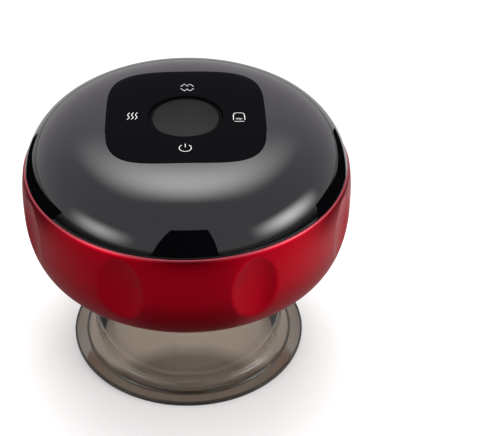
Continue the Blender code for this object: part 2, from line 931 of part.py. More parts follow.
def make_led_board():
    """Ring board on the post's shoulder, with two red lamps over each window."""
    low = post_top + gap
    inner = post_bore_radius + gap
    paint = material("green_board", (0.02, 0.14, 0.06), 0.5)
    board = ring(inner, led_board_radius, low, low + led_board_thickness, round_columns)
    make_object("led_board", board, paint)
    middle = (post_radius + well_radius) / 2
    top = low - gap
    number = 0
    for centre in (0, math.pi):
        for side in (-1, 1):
            number += 1
            angle = centre + side * led_half_spacing
            bm = block(
                (-led_width / 2, -led_length / 2, top - led_height),
                (led_width / 2, led_length / 2, top),
            )
            place = at(*polar(middle, angle, 0)) @ Matrix.Rotation(angle, 4, "Z")
            paint = material(f"red_led_{number}", (0.7, 0.35, 0.3), 0.4)
            make_object(f"red_led_{number}", bm, paint, place)


def make_mid_frame():
    """Tray that carries the battery, pump and valve, with towers for the main board."""
    bm = ring(frame_centre_hole, frame_radius, frame_bottom, frame_top, cover_columns)
    paint = material("frame_black", (0.03, 0.03, 0.034), 0.55)
    frame = make_object("mid_frame", bm, paint)
    weld_bottom = frame_top - weld_depth
    for k, place in enumerate(tower_places()):
        tower = rod(tower_radius, weld_bottom, board_bottom - gap)
        join(frame, f"tower_{k}", tower, at(*place))
    spans = (
        ("battery", -battery_side_offset, battery_radius, battery_height, 0),
        ("pump", pump_side_offset, pump_radius, pump_height, motor_back_x + motor_length / 2),
    )
    spacing = {"battery": battery_saddle_spacing, "pump": motor_length / 2}
    for name, y, radius, height, centre in spans:
        for side in (-1, 1):
            x = centre + side * spacing[name] / 2
            half = saddle_share * radius
            bm = block(
                (x - saddle_thickness / 2, y - half, weld_bottom),
                (x + saddle_thickness / 2, y + half, frame_top + saddle_height),
            )
            join(frame, f"{name}_saddle_{side}", bm)
        reach = battery_length
        bm = rod(radius + gap, -reach / 2, reach / 2, round_columns)
        cut(frame, f"{name}_seat", bm, along_x(centre, y, height))
    for k, place in enumerate(tower_places()):
        top = board_bottom - gap
        bore = rod(tower_bore_radius, top - tower_bore_depth, top + cut_overrun, tiny_columns)
        cut(frame, f"tower_bore_{k}", bore, at(*place))
    through = (frame_bottom - cut_overrun / 2, frame_top + cut_overrun / 2)
    for k, place in enumerate(boss_places()):
        cut(frame, f"frame_hole_{k}", rod(boss_bore_radius, *through, tiny_columns), at(*place))
    hole = rod(tube_outer_radius + gap, *through)
    cut(frame, "tube_hole", hole, at(suction_x, suction_y, 0))


def make_battery():
    """Rechargeable round cell, lying in the frame's saddles."""
    half = battery_length / 2
    cap_foot = half - battery_cap_height
    profile = [
        (0, -half),
        (battery_radius - battery_cap_height, -half),
        (battery_radius, -half + battery_cap_height),
        (battery_radius, cap_foot - battery_cap_height),
        (battery_radius - battery_cap_height, cap_foot),
        (battery_cap_radius, cap_foot),
        (battery_cap_radius, half),
        (0, half),
    ]
    paint = material("battery_sleeve", (0.03, 0.16, 0.42), 0.35)
    place = along_x(0, -battery_side_offset, battery_height)
    make_object("battery", turned(profile, round_columns), paint, place)


def make_pump():
    """Diaphragm pump: a motor turns a crank, whose tilted pin rocks a plate."""
    y, z = pump_side_offset, pump_height
    profile = [
        (0, 0),
        (pump_radius - motor_edge, 0),
        (pump_radius, motor_edge),
        (pump_radius, motor_length - motor_edge),
        (pump_radius - motor_edge, motor_length),
        (motor_nose_radius, motor_length),
        (motor_nose_radius, motor_length + motor_nose_length),
        (shaft_radius + gap, motor_length + motor_nose_length),
        (shaft_radius + gap, motor_length - motor_bore_depth),
        (0, motor_length - motor_bore_depth),
    ]
    steel = material("motor_steel", (0.55, 0.56, 0.58), 0.3, 1.0)
    place = along_x(motor_back_x, y, z)
    make_object("pump_motor", turned(profile, round_columns), steel, place)

    shaft_start = motor_length - motor_bore_depth + gap
    shaft_end = motor_length + shaft_reach
    paint = material("shaft_steel", (0.62, 0.63, 0.65), 0.2, 1.0)
    shaft = rod(shaft_radius, shaft_start, shaft_end, tiny_columns)
    make_object("pump_shaft", shaft, paint, place)

    base_inner = pump_radius - pump_base_wall
    profile = [
        (motor_nose_radius + gap, 0),
        (pump_radius, 0),
        (pump_radius, pump_base_length),
        (base_inner, pump_base_length),
        (base_inner, pump_base_floor),
        (motor_nose_radius + gap, pump_base_floor),
    ]
    paint = material("pump_base_plastic", (0.04, 0.04, 0.045), 0.5)
    place = along_x(pump_base_x, y, z)
    make_object("pump_base", turned(profile, round_columns), paint, place)
    make_crank(y, z)
    make_wobble_plate(y, z)
    make_diaphragm(y, z)
    make_pump_cap(y, z)


def crank_pin_start():
    """Distance from the wobble centre back to the pin's end in the crank."""
    return wobble_centre_x - crank_x - crank_length * crank_pin_seat_share


def make_crank(y, z):
    """Crank on the shaft's end, and the pin that it holds at a slant."""
    bore_depth = motor_back_x + motor_length + shaft_reach + gap - crank_x
    profile = [
        (shaft_radius + gap, 0),
        (crank_radius, 0),
        (crank_radius, crank_length),
        (0, crank_length),
        (0, bore_depth),
        (shaft_radius + gap, bore_depth),
    ]
    paint = material("crank_brass", (0.6, 0.45, 0.2), 0.3, 1.0)
    bm = turned_with_axis(profile, small_columns)
    crank = make_object("pump_crank", bm, paint, along_x(crank_x, y, z))
    lean = along_x(wobble_centre_x, y, z, wobble_angle)
    start = -crank_pin_start()
    hole_end = start + crank_length
    hole = rod(crank_pin_radius + gap, start - gap, hole_end, tiny_columns)
    cut(crank, "crank_pin_hole", hole, lean)
    paint = material("pin_steel", (0.6, 0.61, 0.63), 0.2, 1.0)
    pin = rod(crank_pin_radius, start, start + crank_pin_length, tiny_columns)
    make_object("pump_crank_pin", pin, paint, lean)


def make_wobble_plate(y, z):
    """Plate that the slanted pin rocks without turning, which works the diaphragm."""
    front = -wobble_setback
    back = front - wobble_thickness
    hub_end = back - wobble_hub_length
    pin_end = -crank_pin_start() + crank_pin_length + gap
    bore = crank_pin_radius + gap
    profile = [
        (bore, hub_end),
        (wobble_hub_radius, hub_end),
        (wobble_hub_radius, back),
        (wobble_radius, back),
        (wobble_radius, front),
        (0, front),
        (0, pin_end),
        (bore, pin_end),
    ]
    bm = turned_with_axis(profile, round_columns)
    paint = material("wobble_plastic", (0.8, 0.8, 0.78), 0.45)
    lean = along_x(wobble_centre_x, y, z, wobble_angle)
    plate = make_object("pump_wobble_plate", bm, paint, lean)
    for k in range(diaphragm_cup_count):
        angle = math.tau * (k + 0.5) / diaphragm_cup_count
        notch = rod(wobble_notch_radius, back - cut_overrun / 2, front + cut_overrun / 2)
        cut(plate, f"wobble_notch_{k}", notch, lean @ at(*polar(wobble_radius, angle, 0)))


def make_diaphragm(y, z):
    """Rubber sheet with three cups, clamped between the base and the cap."""
    paint = material("diaphragm_rubber", (0.1, 0.1, 0.1), 0.7)
    place = along_x(diaphragm_x, y, z)
    sheet = rod(pump_radius, 0, diaphragm_thickness, round_columns)
    diaphragm = make_object("pump_diaphragm", sheet, paint, place)
    for k in range(diaphragm_cup_count):
        angle = math.tau * k / diaphragm_cup_count
        cup = rod(diaphragm_cup_radius, -diaphragm_cup_height, diaphragm_thickness / 2)
        spot = place @ at(*polar(diaphragm_cup_circle, angle, 0))
        join(diaphragm, f"diaphragm_cup_{k}", cup, spot)


def add_nipple(target, name, place, length, bore_back):
    """A hollow nipple along the place's +Z, bored back into the body behind it."""
    join(target, f"{name}_nipple", rod(nipple_radius, -weld_depth, length, tiny_columns), place)
    bore = rod(nipple_bore_radius, -bore_back, length + cut_overrun, tiny_columns)
    cut(target, f"{name}_bore", bore, place)


def make_pump_cap(y, z):
    """Valve cap with the suction nipple, level with the manifold, and the exhaust."""
    profile = [
        (pump_radius - pump_cap_wall, 0),
        (pump_radius, 0),
        (pump_radius, pump_cap_length),
        (0, pump_cap_length),
        (0, pump_cap_pocket),
        (pump_radius - pump_cap_wall, pump_cap_pocket),
    ]
    bm = turned_with_axis(profile, round_columns)
    paint = material("pump_cap_plastic", (0.75, 0.75, 0.72), 0.45)
    cap = make_object("pump_cap", bm, paint, along_x(pump_cap_x, y, z))
    bore_back = pump_cap_length - pump_cap_pocket / 2
    inlet = along_x(pump_cap_end, suction_y, valve_height)
    add_nipple(cap, "inlet", inlet, nipple_length, bore_back)
    outlet = along_x(pump_cap_end, y, z + exhaust_rise)
    add_nipple(cap, "exhaust", outlet, nipple_length, bore_back)


def make_manifold():
    """Four-way block that joins the cup's air line to pump, valve and sensor."""
    paint = material("manifold_plastic", (0.7, 0.7, 0.68), 0.4)
    corner = (manifold_half, manifold_half, manifold_half)
    bm = block([-side for side in corner], corner)
    centre = (suction_x, suction_y, valve_height)
    block_obj = make_object("air_manifold", bm, paint, at(*centre))
    turns = {
        "down": Matrix.Rotation(math.pi, 4, "X"),
        "up": Matrix.Identity(4),
        "to_pump": Matrix.Rotation(-math.pi / 2, 4, "Y"),
        "to_valve": Matrix.Rotation(-math.pi / 2, 4, "X"),
    }
    half = manifold_half / 2
    cut(block_obj, "manifold_chamber", block((-half, -half, -half), (half, half, half)), at(*centre))
    for name, turn in turns.items():
        place = at(*centre) @ turn @ at(0, 0, manifold_half)
        add_nipple(block_obj, name, place, nipple_length, half + weld_depth / 2)


def straight(start, end):
    """Two ends and a middle for a straight tube."""
    return [start, (start + end) / 2, end]


def quarter_bend(start, corner, end, steps=8):
    """A smooth turn from one straight run into another."""
    points = []
    for t in spread(0, 1, steps):
        points.append(start * (1 - t) ** 2 + corner * (2 * t * (1 - t)) + end * t**2)
    return points


def make_tubes():
    """The soft tubes between plate, manifold, pump, valve and sensor."""
    paint = material("clear_silicone", (0.7, 0.7, 0.68), 0.35)
    near = manifold_half + gap
    centre = Vector((suction_x, suction_y, valve_height))
    foot = Vector((suction_x, suction_y, hub_floor_height + hub_floor_thickness + gap))
    lines = {
        "suction_tube": straight(foot, centre - Vector((0, 0, near))),
        "pump_tube": straight(
            Vector((pump_cap_end + gap, suction_y, valve_height)),
            centre - Vector((near, 0, 0)),
        ),
        "sensor_tube": straight(
            centre + Vector((0, 0, near)),
            Vector((suction_x, suction_y, board_bottom - 2 * gap - sensor_height)),
        ),
    }
    start = centre + Vector((0, near, 0))
    past_nipple = start + Vector((0, nipple_length, 0))
    valve_face = Vector((valve_x + valve_length / 2 + gap, valve_side_offset, valve_height))
    before_valve = valve_face + Vector((nipple_length, 0, 0))
    corner = Vector((suction_x, valve_side_offset, valve_height))
    bend = quarter_bend(past_nipple, corner, before_valve)
    lines["valve_tube"] = [start] + bend + [valve_face]
    for name, path in lines.items():
        make_object(name, hollow_tube(path, tube_outer_radius, tube_bore_radius), paint.copy())


def make_valve():
    """Release valve: a sprung plunger closes the nipple until the coil draws it back."""
    half = valve_length / 2
    width = valve_width / 2
    bm = block((-half, -width, -width), (half, width, width))
    paint = material("valve_body_steel", (0.4, 0.41, 0.43), 0.35, 0.9)
    body = make_object("valve_body", bm, paint, at(valve_x, valve_side_offset, valve_height))
    middle = along_x(valve_x, valve_side_offset, valve_height)
    seat = half - valve_end_wall
    cut(body, "valve_bore", rod(valve_bore_radius, -seat, seat), middle)
    face = along_x(valve_x + half, valve_side_offset, valve_height)
    add_nipple(body, "valve", face, nipple_length, valve_end_wall + cut_overrun / 2)
    vent = rod(valve_vent_radius, -half - cut_overrun, -seat + cut_overrun / 2, tiny_columns)
    cut(body, "valve_vent", vent, middle)

    tip = seat - gap
    back = tip - plunger_length
    radius = valve_bore_radius - gap
    profile = [
        (0, back),
        (radius, back),
        (radius, tip - plunger_nose_length),
        (plunger_nose_radius, tip),
        (0, tip),
    ]
    paint = material("plunger_steel", (0.6, 0.6, 0.62), 0.3, 1.0)
    make_object("valve_plunger", turned(profile, small_columns), paint, middle)

    start = -seat + gap + valve_spring_wire
    length = back - gap - valve_spring_wire - start
    steps = 8 * valve_spring_turns
    points = []
    for k in range(steps + 1):
        spot = polar(valve_spring_radius, math.tau * k / 8, start + length * k / steps)
        points.append(middle @ spot)
    paint = material("spring_steel", (0.6, 0.6, 0.62), 0.25, 1.0)
    wire("valve_spring", points, valve_spring_wire, paint)


def make_main_board():
    """Round control board on the frame's towers, with display and pressure sensor."""
    paint = material("board_green", (0.015, 0.12, 0.05), 0.45)
    board = make_object(
        "main_board", rod(board_radius, board_bottom, board_top, cover_columns), paint
    )
    for k, place in enumerate(tower_places()):
        hole = rod(
            tower_bore_radius, board_bottom - cut_overrun, board_top + cut_overrun, tiny_columns
        )
        cut(board, f"board_hole_{k}", hole, at(*place))

    low = board_top + gap
    paint = material("display_grey", (0.12, 0.12, 0.13), 0.4)
    foot = low + display_base_height
    bm = block(
        (-display_base_half, -display_base_half, low),
        (display_base_half, display_base_half, foot),
    )
    display = make_object("display_module", bm, paint)
    face = rod(display_radius, foot - weld_depth, low + display_height, round_columns)
    join(display, "display_face", face)

    top = board_bottom - gap
    low = top - sensor_height
    bm = block((-sensor_half, -sensor_half, low), (sensor_half, sensor_half, top))
    paint = material("sensor_grey", (0.3, 0.3, 0.32), 0.5)
    sensor = make_object("pressure_sensor", bm, paint, at(suction_x, suction_y, 0))
    place = at(suction_x, suction_y, low) @ Matrix.Rotation(math.pi, 4, "X")
    add_nipple(sensor, "sensor", place, nipple_length, sensor_height / 2)


def make_touch_springs():
    """Sprung contacts that lead from the board up to the panel's four touch fields."""
    low = board_top + gap + touch_spring_wire
    high = pad_bottom - gap - touch_spring_wire
    spots = ((0, -touch_front), (-touch_side, 0), (0, touch_back), (touch_side, 0))
    steps = int(8 * touch_spring_turns)
    for number, (x, y) in enumerate(spots, 1):
        points = []
        for k in range(steps + 1):
            share = k / steps
            radius = touch_spring_radius - touch_spring_taper * share
            spot = polar(radius, math.tau * k / 8, low + (high - low) * share)
            points.append(Vector((x, y, 0)) + spot)
        paint = material(f"touch_spring_{number}", (0.7, 0.6, 0.35), 0.25, 1.0)
        wire(f"touch_spring_{number}", points, touch_spring_wire, paint)


def stadium(width, height, steps=4):
    """Points round a flat slot outline with round ends."""
    half = (width - height) / 2
    points = []
    for side in (1, -1):
        for angle in spread(-math.pi / 2, math.pi / 2, steps):
            x = side * (half + height / 2 * math.cos(angle))
            points.append((x, side * height / 2 * math.sin(angle)))
    return points


def slot_prism(width, height, start, end):
    """A flat slot outline run along Y, about the charging socket's centre line."""
    outline = stadium(width, height)
    return loft(
        [[Vector((x, y, z + usb_height_centre)) for x, z in outline] for y in (start, end)]
    )


def make_charging_socket():
    """Metal charging receptacle behind the housing's slot, on its own small board."""
    back = usb_front - usb_depth
    paint = material("socket_steel", (0.6, 0.61, 0.62), 0.3, 1.0)
    shell = make_object("usb_port", slot_prism(usb_width, usb_height, back, usb_front), paint)
    mouth_back = usb_front - usb_mouth_depth
    mouth = slot_prism(
        usb_mouth_width, usb_mouth_height, mouth_back, usb_front + cut_overrun
    )
    cut(shell, "usb_mouth", mouth)
    half = usb_tongue_thickness / 2
    tongue = block(
        (-usb_tongue_width / 2, mouth_back - weld_depth, usb_height_centre - half),
        (usb_tongue_width / 2, mouth_back + usb_tongue_length, usb_height_centre + half),
    )
    join(shell, "usb_tongue", tongue)
    low = frame_top + gap
    front = frame_radius + gap
    bm = block(
        (-usb_board_width / 2, front - usb_board_length, low),
        (usb_board_width / 2, front, usb_board_top),
    )
    make_object("usb_board", bm, material("usb_board_green", (0.02, 0.13, 0.06), 0.5))


def make_screws(prefix, places, head_bottom, length):
    """Pan-head screws with a straight slot, heads up."""
    for number, place in enumerate(places, 1):
        profile = [
            (0, -length),
            (screw_shank_radius, -length),
            (screw_shank_radius, 0),
            (screw_head_radius, 0),
            (screw_head_radius, screw_head_height / 2),
            (screw_head_radius * screw_crown_share, screw_head_height),
            (0, screw_head_height),
        ]
        paint = material(f"{prefix}_{number}", (0.5, 0.5, 0.52), 0.3, 1.0)
        spot = at(place.x, place.y, head_bottom + gap)
        screw = make_object(f"{prefix}_{number}", turned(profile, tiny_columns), paint, spot)
        reach = screw_head_radius + cut_overrun
        slot = block(
            (-reach, -screw_slot_width / 2, screw_head_height - screw_slot_depth),
            (reach, screw_slot_width / 2, screw_head_height + cut_overrun),
        )
        cut(screw, f"{prefix}_slot_{number}", slot, spot)


def make_leads():
    """Leads from the battery's ends and the motor's back, past their sides to the board."""
    top = board_bottom - gap
    past_battery = lead_side_room - battery_side_offset + battery_radius
    past_pump = pump_side_offset - pump_radius - lead_side_room
    past_motor_red = past_pump - lead_side_room
    battery_y = -battery_side_offset
    battery_end = battery_length / 2
    motor_end = -motor_back_x
    low, high = pump_height - motor_nose_radius, pump_height + motor_nose_radius
    red, black = (0.5, 0.02, 0.02), (0.02, 0.02, 0.02)
    runs = (
        ("battery_lead_red", red, 1, battery_end, battery_y, battery_height, past_battery),
        ("battery_lead_black", black, -1, battery_end, battery_y, battery_height, past_battery),
        ("motor_lead_red", red, -1, motor_end, pump_side_offset, high, past_pump),
        ("motor_lead_black", black, -1, motor_end, pump_side_offset, low, past_motor_red),
    )
    for name, colour, side, end, y, height, far_y in runs:
        out = end + gap + lead_reach
        landing = board_radius - 2 * lead_bend
        knots = [
            Vector((side * (end + gap), y, height)),
            Vector((side * out, y, height)),
            Vector((side * out, far_y, (height + top) / 2)),
            Vector((side * landing, far_y, top - lead_bend)),
            Vector((side * landing, far_y, top)),
        ]
        points = [knots[0]]
        for before, corner, after in zip(knots, knots[1:], knots[2:]):
            points += quarter_bend((before + corner) / 2, corner, (corner + after) / 2, 3)[:-1]
        points += [(knots[-2] + knots[-1]) / 2, knots[-1]]
        wire(name, points, lead_radius, material(name, colour, 0.5))


make_lower_housing()
make_top_cover()
make_touch_panel()
make_display_lens()
make_cup()
make_cup_socket()
make_cup_seal()
make_lamp_hub()
make_suction_plate()
make_heater()
make_led_board()
make_mid_frame()
make_battery()
make_pump()
make_manifold()
make_tubes()
make_valve()
make_main_board()
make_touch_springs()
make_charging_socket()
make_screws("frame_screw", boss_places(), frame_top, frame_screw_length)
make_screws("board_screw", tower_places(), board_top, board_screw_length)
make_leads()
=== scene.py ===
import math

import bmesh
import bpy
from mathutils import Matrix, Vector


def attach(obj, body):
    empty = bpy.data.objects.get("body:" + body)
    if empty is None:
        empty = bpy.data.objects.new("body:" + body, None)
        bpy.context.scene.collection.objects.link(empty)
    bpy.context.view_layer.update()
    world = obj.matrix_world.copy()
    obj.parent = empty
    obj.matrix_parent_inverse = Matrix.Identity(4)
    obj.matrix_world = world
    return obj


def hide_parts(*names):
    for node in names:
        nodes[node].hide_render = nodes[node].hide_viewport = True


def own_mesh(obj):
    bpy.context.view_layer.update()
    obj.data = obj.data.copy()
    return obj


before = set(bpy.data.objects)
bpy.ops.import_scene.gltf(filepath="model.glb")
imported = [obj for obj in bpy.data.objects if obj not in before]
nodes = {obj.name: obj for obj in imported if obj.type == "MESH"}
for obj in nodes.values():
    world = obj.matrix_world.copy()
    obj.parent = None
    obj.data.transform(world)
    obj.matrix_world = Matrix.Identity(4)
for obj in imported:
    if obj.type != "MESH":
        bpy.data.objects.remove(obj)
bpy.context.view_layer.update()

# Electric cupping massager. Metres, +Z up: the cup's rim stands on z = 0 at the origin,
# -Y is the front, where the power symbol is, and +Y is the back, with the charging socket.
# The sections follow the assembly, from the cup up to the touch panel, and then the studio.


# ---- Cup ----
# Smoked clear polycarbonate, moulded in one with a flat flange that meets the skin and
# four lugs on its neck, which ride up sloping ledges in the head as the cup is turned.
def arc(centre_r, centre_z, radius, start, end, steps=6):
    """Points of an outline's rounded corner, from one angle in degrees to another."""
    points = []
    for k in range(steps + 1):
        angle = math.radians(start + (end - start) * k / steps)
        points.append((centre_r + radius * math.cos(angle), centre_z + radius * math.sin(angle)))
    return points


outer_top, inner_top, inner_foot, outer_foot = range(4)


def corner(radius, height, rounding, quarter, steps=4):
    """Rounds an outline's corner at a radius and height, such as its outer_top."""
    out, up = (1, -1, -1, 1)[quarter], (1, 1, -1, -1)[quarter]
    start = 90 * quarter
    centre_r, centre_z = radius - out * rounding, height - up * rounding
    return arc(centre_r, centre_z, rounding, start, start + 90, steps)


def spin_outline(outline, steps=144, degrees=360):
    """Turns an outline of (radius, height) points about Z. A part turn keeps both its ends."""
    bm = bmesh.new()
    points = [bm.verts.new((radius, 0, height)) for radius, height in outline]
    whole = degrees == 360
    if whole:
        on_axis = outline[0][0] == 0 and outline[-1][0] == 0
        pairs = list(zip(points, points[1:])) + ([] if on_axis else [(points[-1], points[0])])
        geometry = points + [bm.edges.new(pair) for pair in pairs]
    else:
        geometry = points + [bm.faces.new(points)]
    bmesh.ops.spin(
        bm, geom=geometry, cent=(0, 0, 0), axis=(0, 0, 1), dvec=(0, 0, 0),
        angle=math.radians(degrees), steps=steps, use_merge=whole,
    )
    bmesh.ops.remove_doubles(bm, verts=bm.verts, dist=1e-7)
    bmesh.ops.recalc_face_normals(bm, faces=bm.faces)
    return bm


def turned_by(bm, degrees):
    """Turns a mesh about Z."""
    matrix = Matrix.Rotation(math.radians(degrees), 3, "Z")
    bmesh.ops.rotate(bm, cent=(0, 0, 0), matrix=matrix, verts=bm.verts)
    return bm


def placed(name, data):
    """An object in the scene, at the origin."""
    made = bpy.data.objects.new(name, data)
    bpy.context.scene.collection.objects.link(made)
    return made


def new_object(name, bm):
    mesh = bpy.data.meshes.new(name)
    bm.to_mesh(mesh)
    bm.free()
    return placed(name, mesh)


def worked_mesh(source):
    """A mesh of an object as its modifiers or its curve settings leave it."""
    graph = bpy.context.evaluated_depsgraph_get()
    return bpy.data.meshes.new_from_object(source.evaluated_get(graph))


def work_into(target, bm, operation):
    """Cuts or joins a closed mesh into an object, for good."""
    tool = new_object("tool", bm)
    step = target.modifiers.new("step", "BOOLEAN")
    step.object, step.operation, step.solver = tool, operation, "EXACT"
    worked = worked_mesh(target)
    worked.name = target.name
    target.modifiers.remove(step)
    target.data = worked
    bpy.data.objects.remove(tool)


def dress(piece, paint, body, slot, *stands_for, sharp=38):
    """Shades a piece, gives it its material, and sets it on its body."""
    piece.data.shade_smooth()
    piece.data.set_sharp_from_angle(angle=math.radians(sharp))
    piece.data.materials.clear()
    piece.data.materials.append(paint)
    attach(piece, body)
    if stands_for:
        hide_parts(*stands_for)
    return piece


def node_group(name, inputs, *outputs):
    """An empty shader node group. An input's value gives its kind: number, vector or colour.
    Returns the group, its inputs as sockets to draw on, and the node that takes its results."""
    group = bpy.data.node_groups.new(name, "ShaderNodeTree")
    kinds = {1: "NodeSocketFloat", 3: "NodeSocketVector", 4: "NodeSocketColor"}
    for label, value in inputs.items():
        kind = kinds[len(value) if isinstance(value, tuple) else 1]
        socket = group.interface.new_socket(label, in_out="INPUT", socket_type=kind)
        socket.default_value = value
    for label in outputs:
        kind = kinds[4 if label == "Colour" else 1]
        group.interface.new_socket(label, in_out="OUTPUT", socket_type=kind)
    given, result = group.nodes.new("NodeGroupInput"), group.nodes.new("NodeGroupOutput")
    return group, given.outputs, result


def feed(tree, target, value):
    """Links a node's input to another node, or sets it to a fixed value."""
    if isinstance(value, bpy.types.NodeSocket):
        tree.links.new(value, target)
    else:
        target.default_value = value


def feed_all(tree, node, **values):
    """Feeds a node's inputs by name. An underscore in a name stands for a space."""
    for label, value in values.items():
        feed(tree, node.inputs[label.replace("_", " ")], value)


def maths(tree, operation, *values):
    """A Math node. Each value is a socket or a number."""
    node = tree.nodes.new("ShaderNodeMath")
    node.operation = operation
    for target, value in zip(node.inputs, values):
        feed(tree, target, value)
    return node.outputs[0]


def noise(tree, coordinates, scale, detail=3.0, roughness=0.5):
    node = tree.nodes.new("ShaderNodeTexNoise")
    feed_all(tree, node, Vector=coordinates, Scale=scale, Detail=detail, Roughness=roughness)
    return node.outputs["Fac"]


def object_coordinates(tree):
    return tree.nodes.new("ShaderNodeTexCoord").outputs["Object"]


def place_xyz(tree):
    """The object's own coordinates, as separate outputs X, Y and Z."""
    node = tree.nodes.new("ShaderNodeSeparateXYZ")
    feed(tree, node.inputs[0], object_coordinates(tree))
    return node.outputs


def vector_maths(tree, operation, first, second=(0, 0, 0)):
    """A Vector Math node. The second value is a socket or a tuple."""
    node = tree.nodes.new("ShaderNodeVectorMath")
    node.operation = operation
    feed(tree, node.inputs[0], first)
    feed(tree, node.inputs["Scale" if operation == "SCALE" else 1], second)
    return node.outputs["Value" if operation in ("LENGTH", "DISTANCE") else "Vector"]


def stretched(tree, value, start, end, low=0.0, high=1.0, ease="LINEAR"):
    """Maps a value from one range to another and clamps it."""
    node = tree.nodes.new("ShaderNodeMapRange")
    node.interpolation_type = ease
    for target, given in zip(node.inputs, (value, start, end, low, high)):
        feed(tree, target, given)
    return node.outputs["Result"]


def mixed(tree, factor, first, second, blend_type="MIX"):
    """A mix of two colours. Each is a socket or four numbers."""
    node = tree.nodes.new("ShaderNodeMix")
    node.data_type, node.blend_type = "RGBA", blend_type
    feed_all(tree, node, Factor=factor, A=first, B=second)
    return node.outputs["Result"]


# Moulded or painted surfaces share one effect: a colour that drifts a little over the piece,
# a fine grain for the bump, and broad handling marks that change the gloss.
surface, given, result = node_group(
    "surface_variation",
    {
        "Colour": (0.5, 0.5, 0.5, 1), "Drift": 0.06, "Grain Scale": 4000.0, "Roughness": 0.4,
        "Handling": 0.05,
    },
    "Colour", "Roughness", "Height",
)
place = object_coordinates(surface)
broad_scale, smudge_scale, broad_share, grain_share = 38.0, 120.0, 1.2, 0.8
broad = noise(surface, place, broad_scale, 2.0)
grain = noise(surface, place, given["Grain Scale"], 2.0, 0.6)
smudge = noise(surface, place, smudge_scale, 4.0, 0.65)
grain_part = maths(surface, "MULTIPLY", grain, grain_share)
both = maths(surface, "ADD", maths(surface, "MULTIPLY", broad, broad_share), grain_part)
swing = maths(surface, "SUBTRACT", both, 1.0)
swing = maths(surface, "MULTIPLY_ADD", swing, given["Drift"], 1.0)
marks = maths(surface, "MULTIPLY", maths(surface, "SUBTRACT", smudge, 0.5), given["Handling"])
tone = vector_maths(surface, "SCALE", given["Colour"], swing)
rough = maths(surface, "ADD", marks, given["Roughness"])
feed_all(surface, result, Colour=tone, Roughness=rough, Height=grain)


def principled(name, **fixed):
    """A new material and its Principled shader. Fixed values go to the shader's sockets."""
    made = bpy.data.materials.new(name)
    made.use_nodes = True
    tree = made.node_tree
    shader = tree.nodes["Principled BSDF"]
    feed_all(tree, shader, **fixed)
    return made, tree, shader


def effect_in(tree, group, **values):
    """Puts a node group into a material and returns its outputs."""
    node = tree.nodes.new("ShaderNodeGroup")
    node.node_tree = group
    feed_all(tree, node, **values)
    return node.outputs


def wire_in(tree, shader, colour, roughness, height, strength, depth):
    """Gives a shader its colour, its roughness and a bump of a depth in metres."""
    relief = tree.nodes.new("ShaderNodeBump")
    feed_all(tree, relief, Strength=strength, Distance=depth, Height=height)
    normal = relief.outputs["Normal"]
    feed_all(tree, shader, Base_Color=colour, Roughness=roughness, Normal=normal)


def moulded(
    name, colour, roughness, drift=0.08, grain=4000.0, handling=0.08, relief=0.00002, **fixed
):
    """A plastic, rubber or painted surface."""
    made, tree, shader = principled(name, **fixed)
    effect = effect_in(
        tree, surface, Colour=(*colour, 1), Drift=drift, Grain_Scale=grain, Roughness=roughness,
        Handling=handling,
    )
    wire_in(tree, shader, effect["Colour"], effect["Roughness"], effect["Height"], 0.3, relief)
    return made


cup_paint = moulded(
    "smoked_polycarbonate", (0.64, 0.585, 0.50), 0.03, drift=0.04, grain=600.0, handling=0.03,
    relief=0.000002, Transmission_Weight=1.0, IOR=1.4,
)

neck_inner, neck_outer, neck_top = 0.0270, 0.0290, 0.0460
wall_draft = 0.0005
flange_radius, flange_thickness, flange_round = 0.0362, 0.0014, 0.0004
mouth_radius = 0.0315
bead_radius, bead_height = 0.0322, 0.0006
root = 0.0046
inside_wall = neck_inner + wall_draft
outside_wall = neck_outer + wall_draft
fillet = bead_radius - outside_wall - flange_round
bead_top = flange_thickness + bead_height
cup_outline = [
    (inside_wall, root),
    *arc(mouth_radius, root, mouth_radius - inside_wall, 180, 268, 10)[1:],
    *corner(flange_radius, 0, flange_round, outer_foot),
    *corner(flange_radius, flange_thickness, flange_round, outer_top),
    (bead_radius + flange_round / 2, flange_thickness),
    *corner(bead_radius, bead_top, flange_round, outer_top),
    *arc(outside_wall + fillet, bead_top + fillet, fillet, 270, 180, 8)[1:],
    *corner(neck_outer, neck_top, flange_round, outer_top),
    *corner(neck_inner, neck_top, flange_round, inner_top),
]
cup = new_object("smoked_cup", spin_outline(cup_outline))

lug_root, lug_reach, lug_edge = neck_outer - 0.0006, 0.0306, 0.0003
lug_low, lug_high, lug_half_angle = 0.0440, 0.0456, 6.0
cup_drop, cup_turn = 0.006, 50
slope_per_degree = cup_drop / cup_turn
lug_outline = [
    (lug_root, lug_low), (lug_reach - lug_edge, lug_low), (lug_reach, lug_low + lug_edge),
    (lug_reach, lug_high - lug_edge), (lug_reach - lug_edge, lug_high), (lug_root, lug_high),
]
for quarter in range(4):
    lug = spin_outline(lug_outline, 8, 2 * lug_half_angle)
    for vert in lug.verts:
        if vert.co.z < lug_low + 1.3 * lug_edge:
            angle = math.degrees(math.atan2(vert.co.y, vert.co.x)) - lug_half_angle
            vert.co.z += slope_per_degree * angle
    work_into(cup, turned_by(lug, 90 * quarter - lug_half_angle), "UNION")
tree = cup_paint.node_tree
shader = tree.nodes["Principled BSDF"]
clear_tone = shader.inputs["Base Color"].links[0].from_socket
# Painted shade: dark lines along the flange's rounded edge and along its bead, and a darker flange
# where the floor under it lies in shade, mixed into the glass tint.
spot = place_xyz(tree)
across = maths(tree, "MULTIPLY", spot["X"], spot["X"])
across = maths(tree, "SQRT", maths(tree, "MULTIPLY_ADD", spot["Y"], spot["Y"], across))
at_edge = maths(tree, "GREATER_THAN", across, flange_radius - 1.5 * flange_round)
at_bead = maths(tree, "COMPARE", across, bead_radius - flange_round / 2, flange_round * 0.8)
at_flange = maths(tree, "MULTIPLY", maths(tree, "GREATER_THAN", across, bead_radius), 0.22)
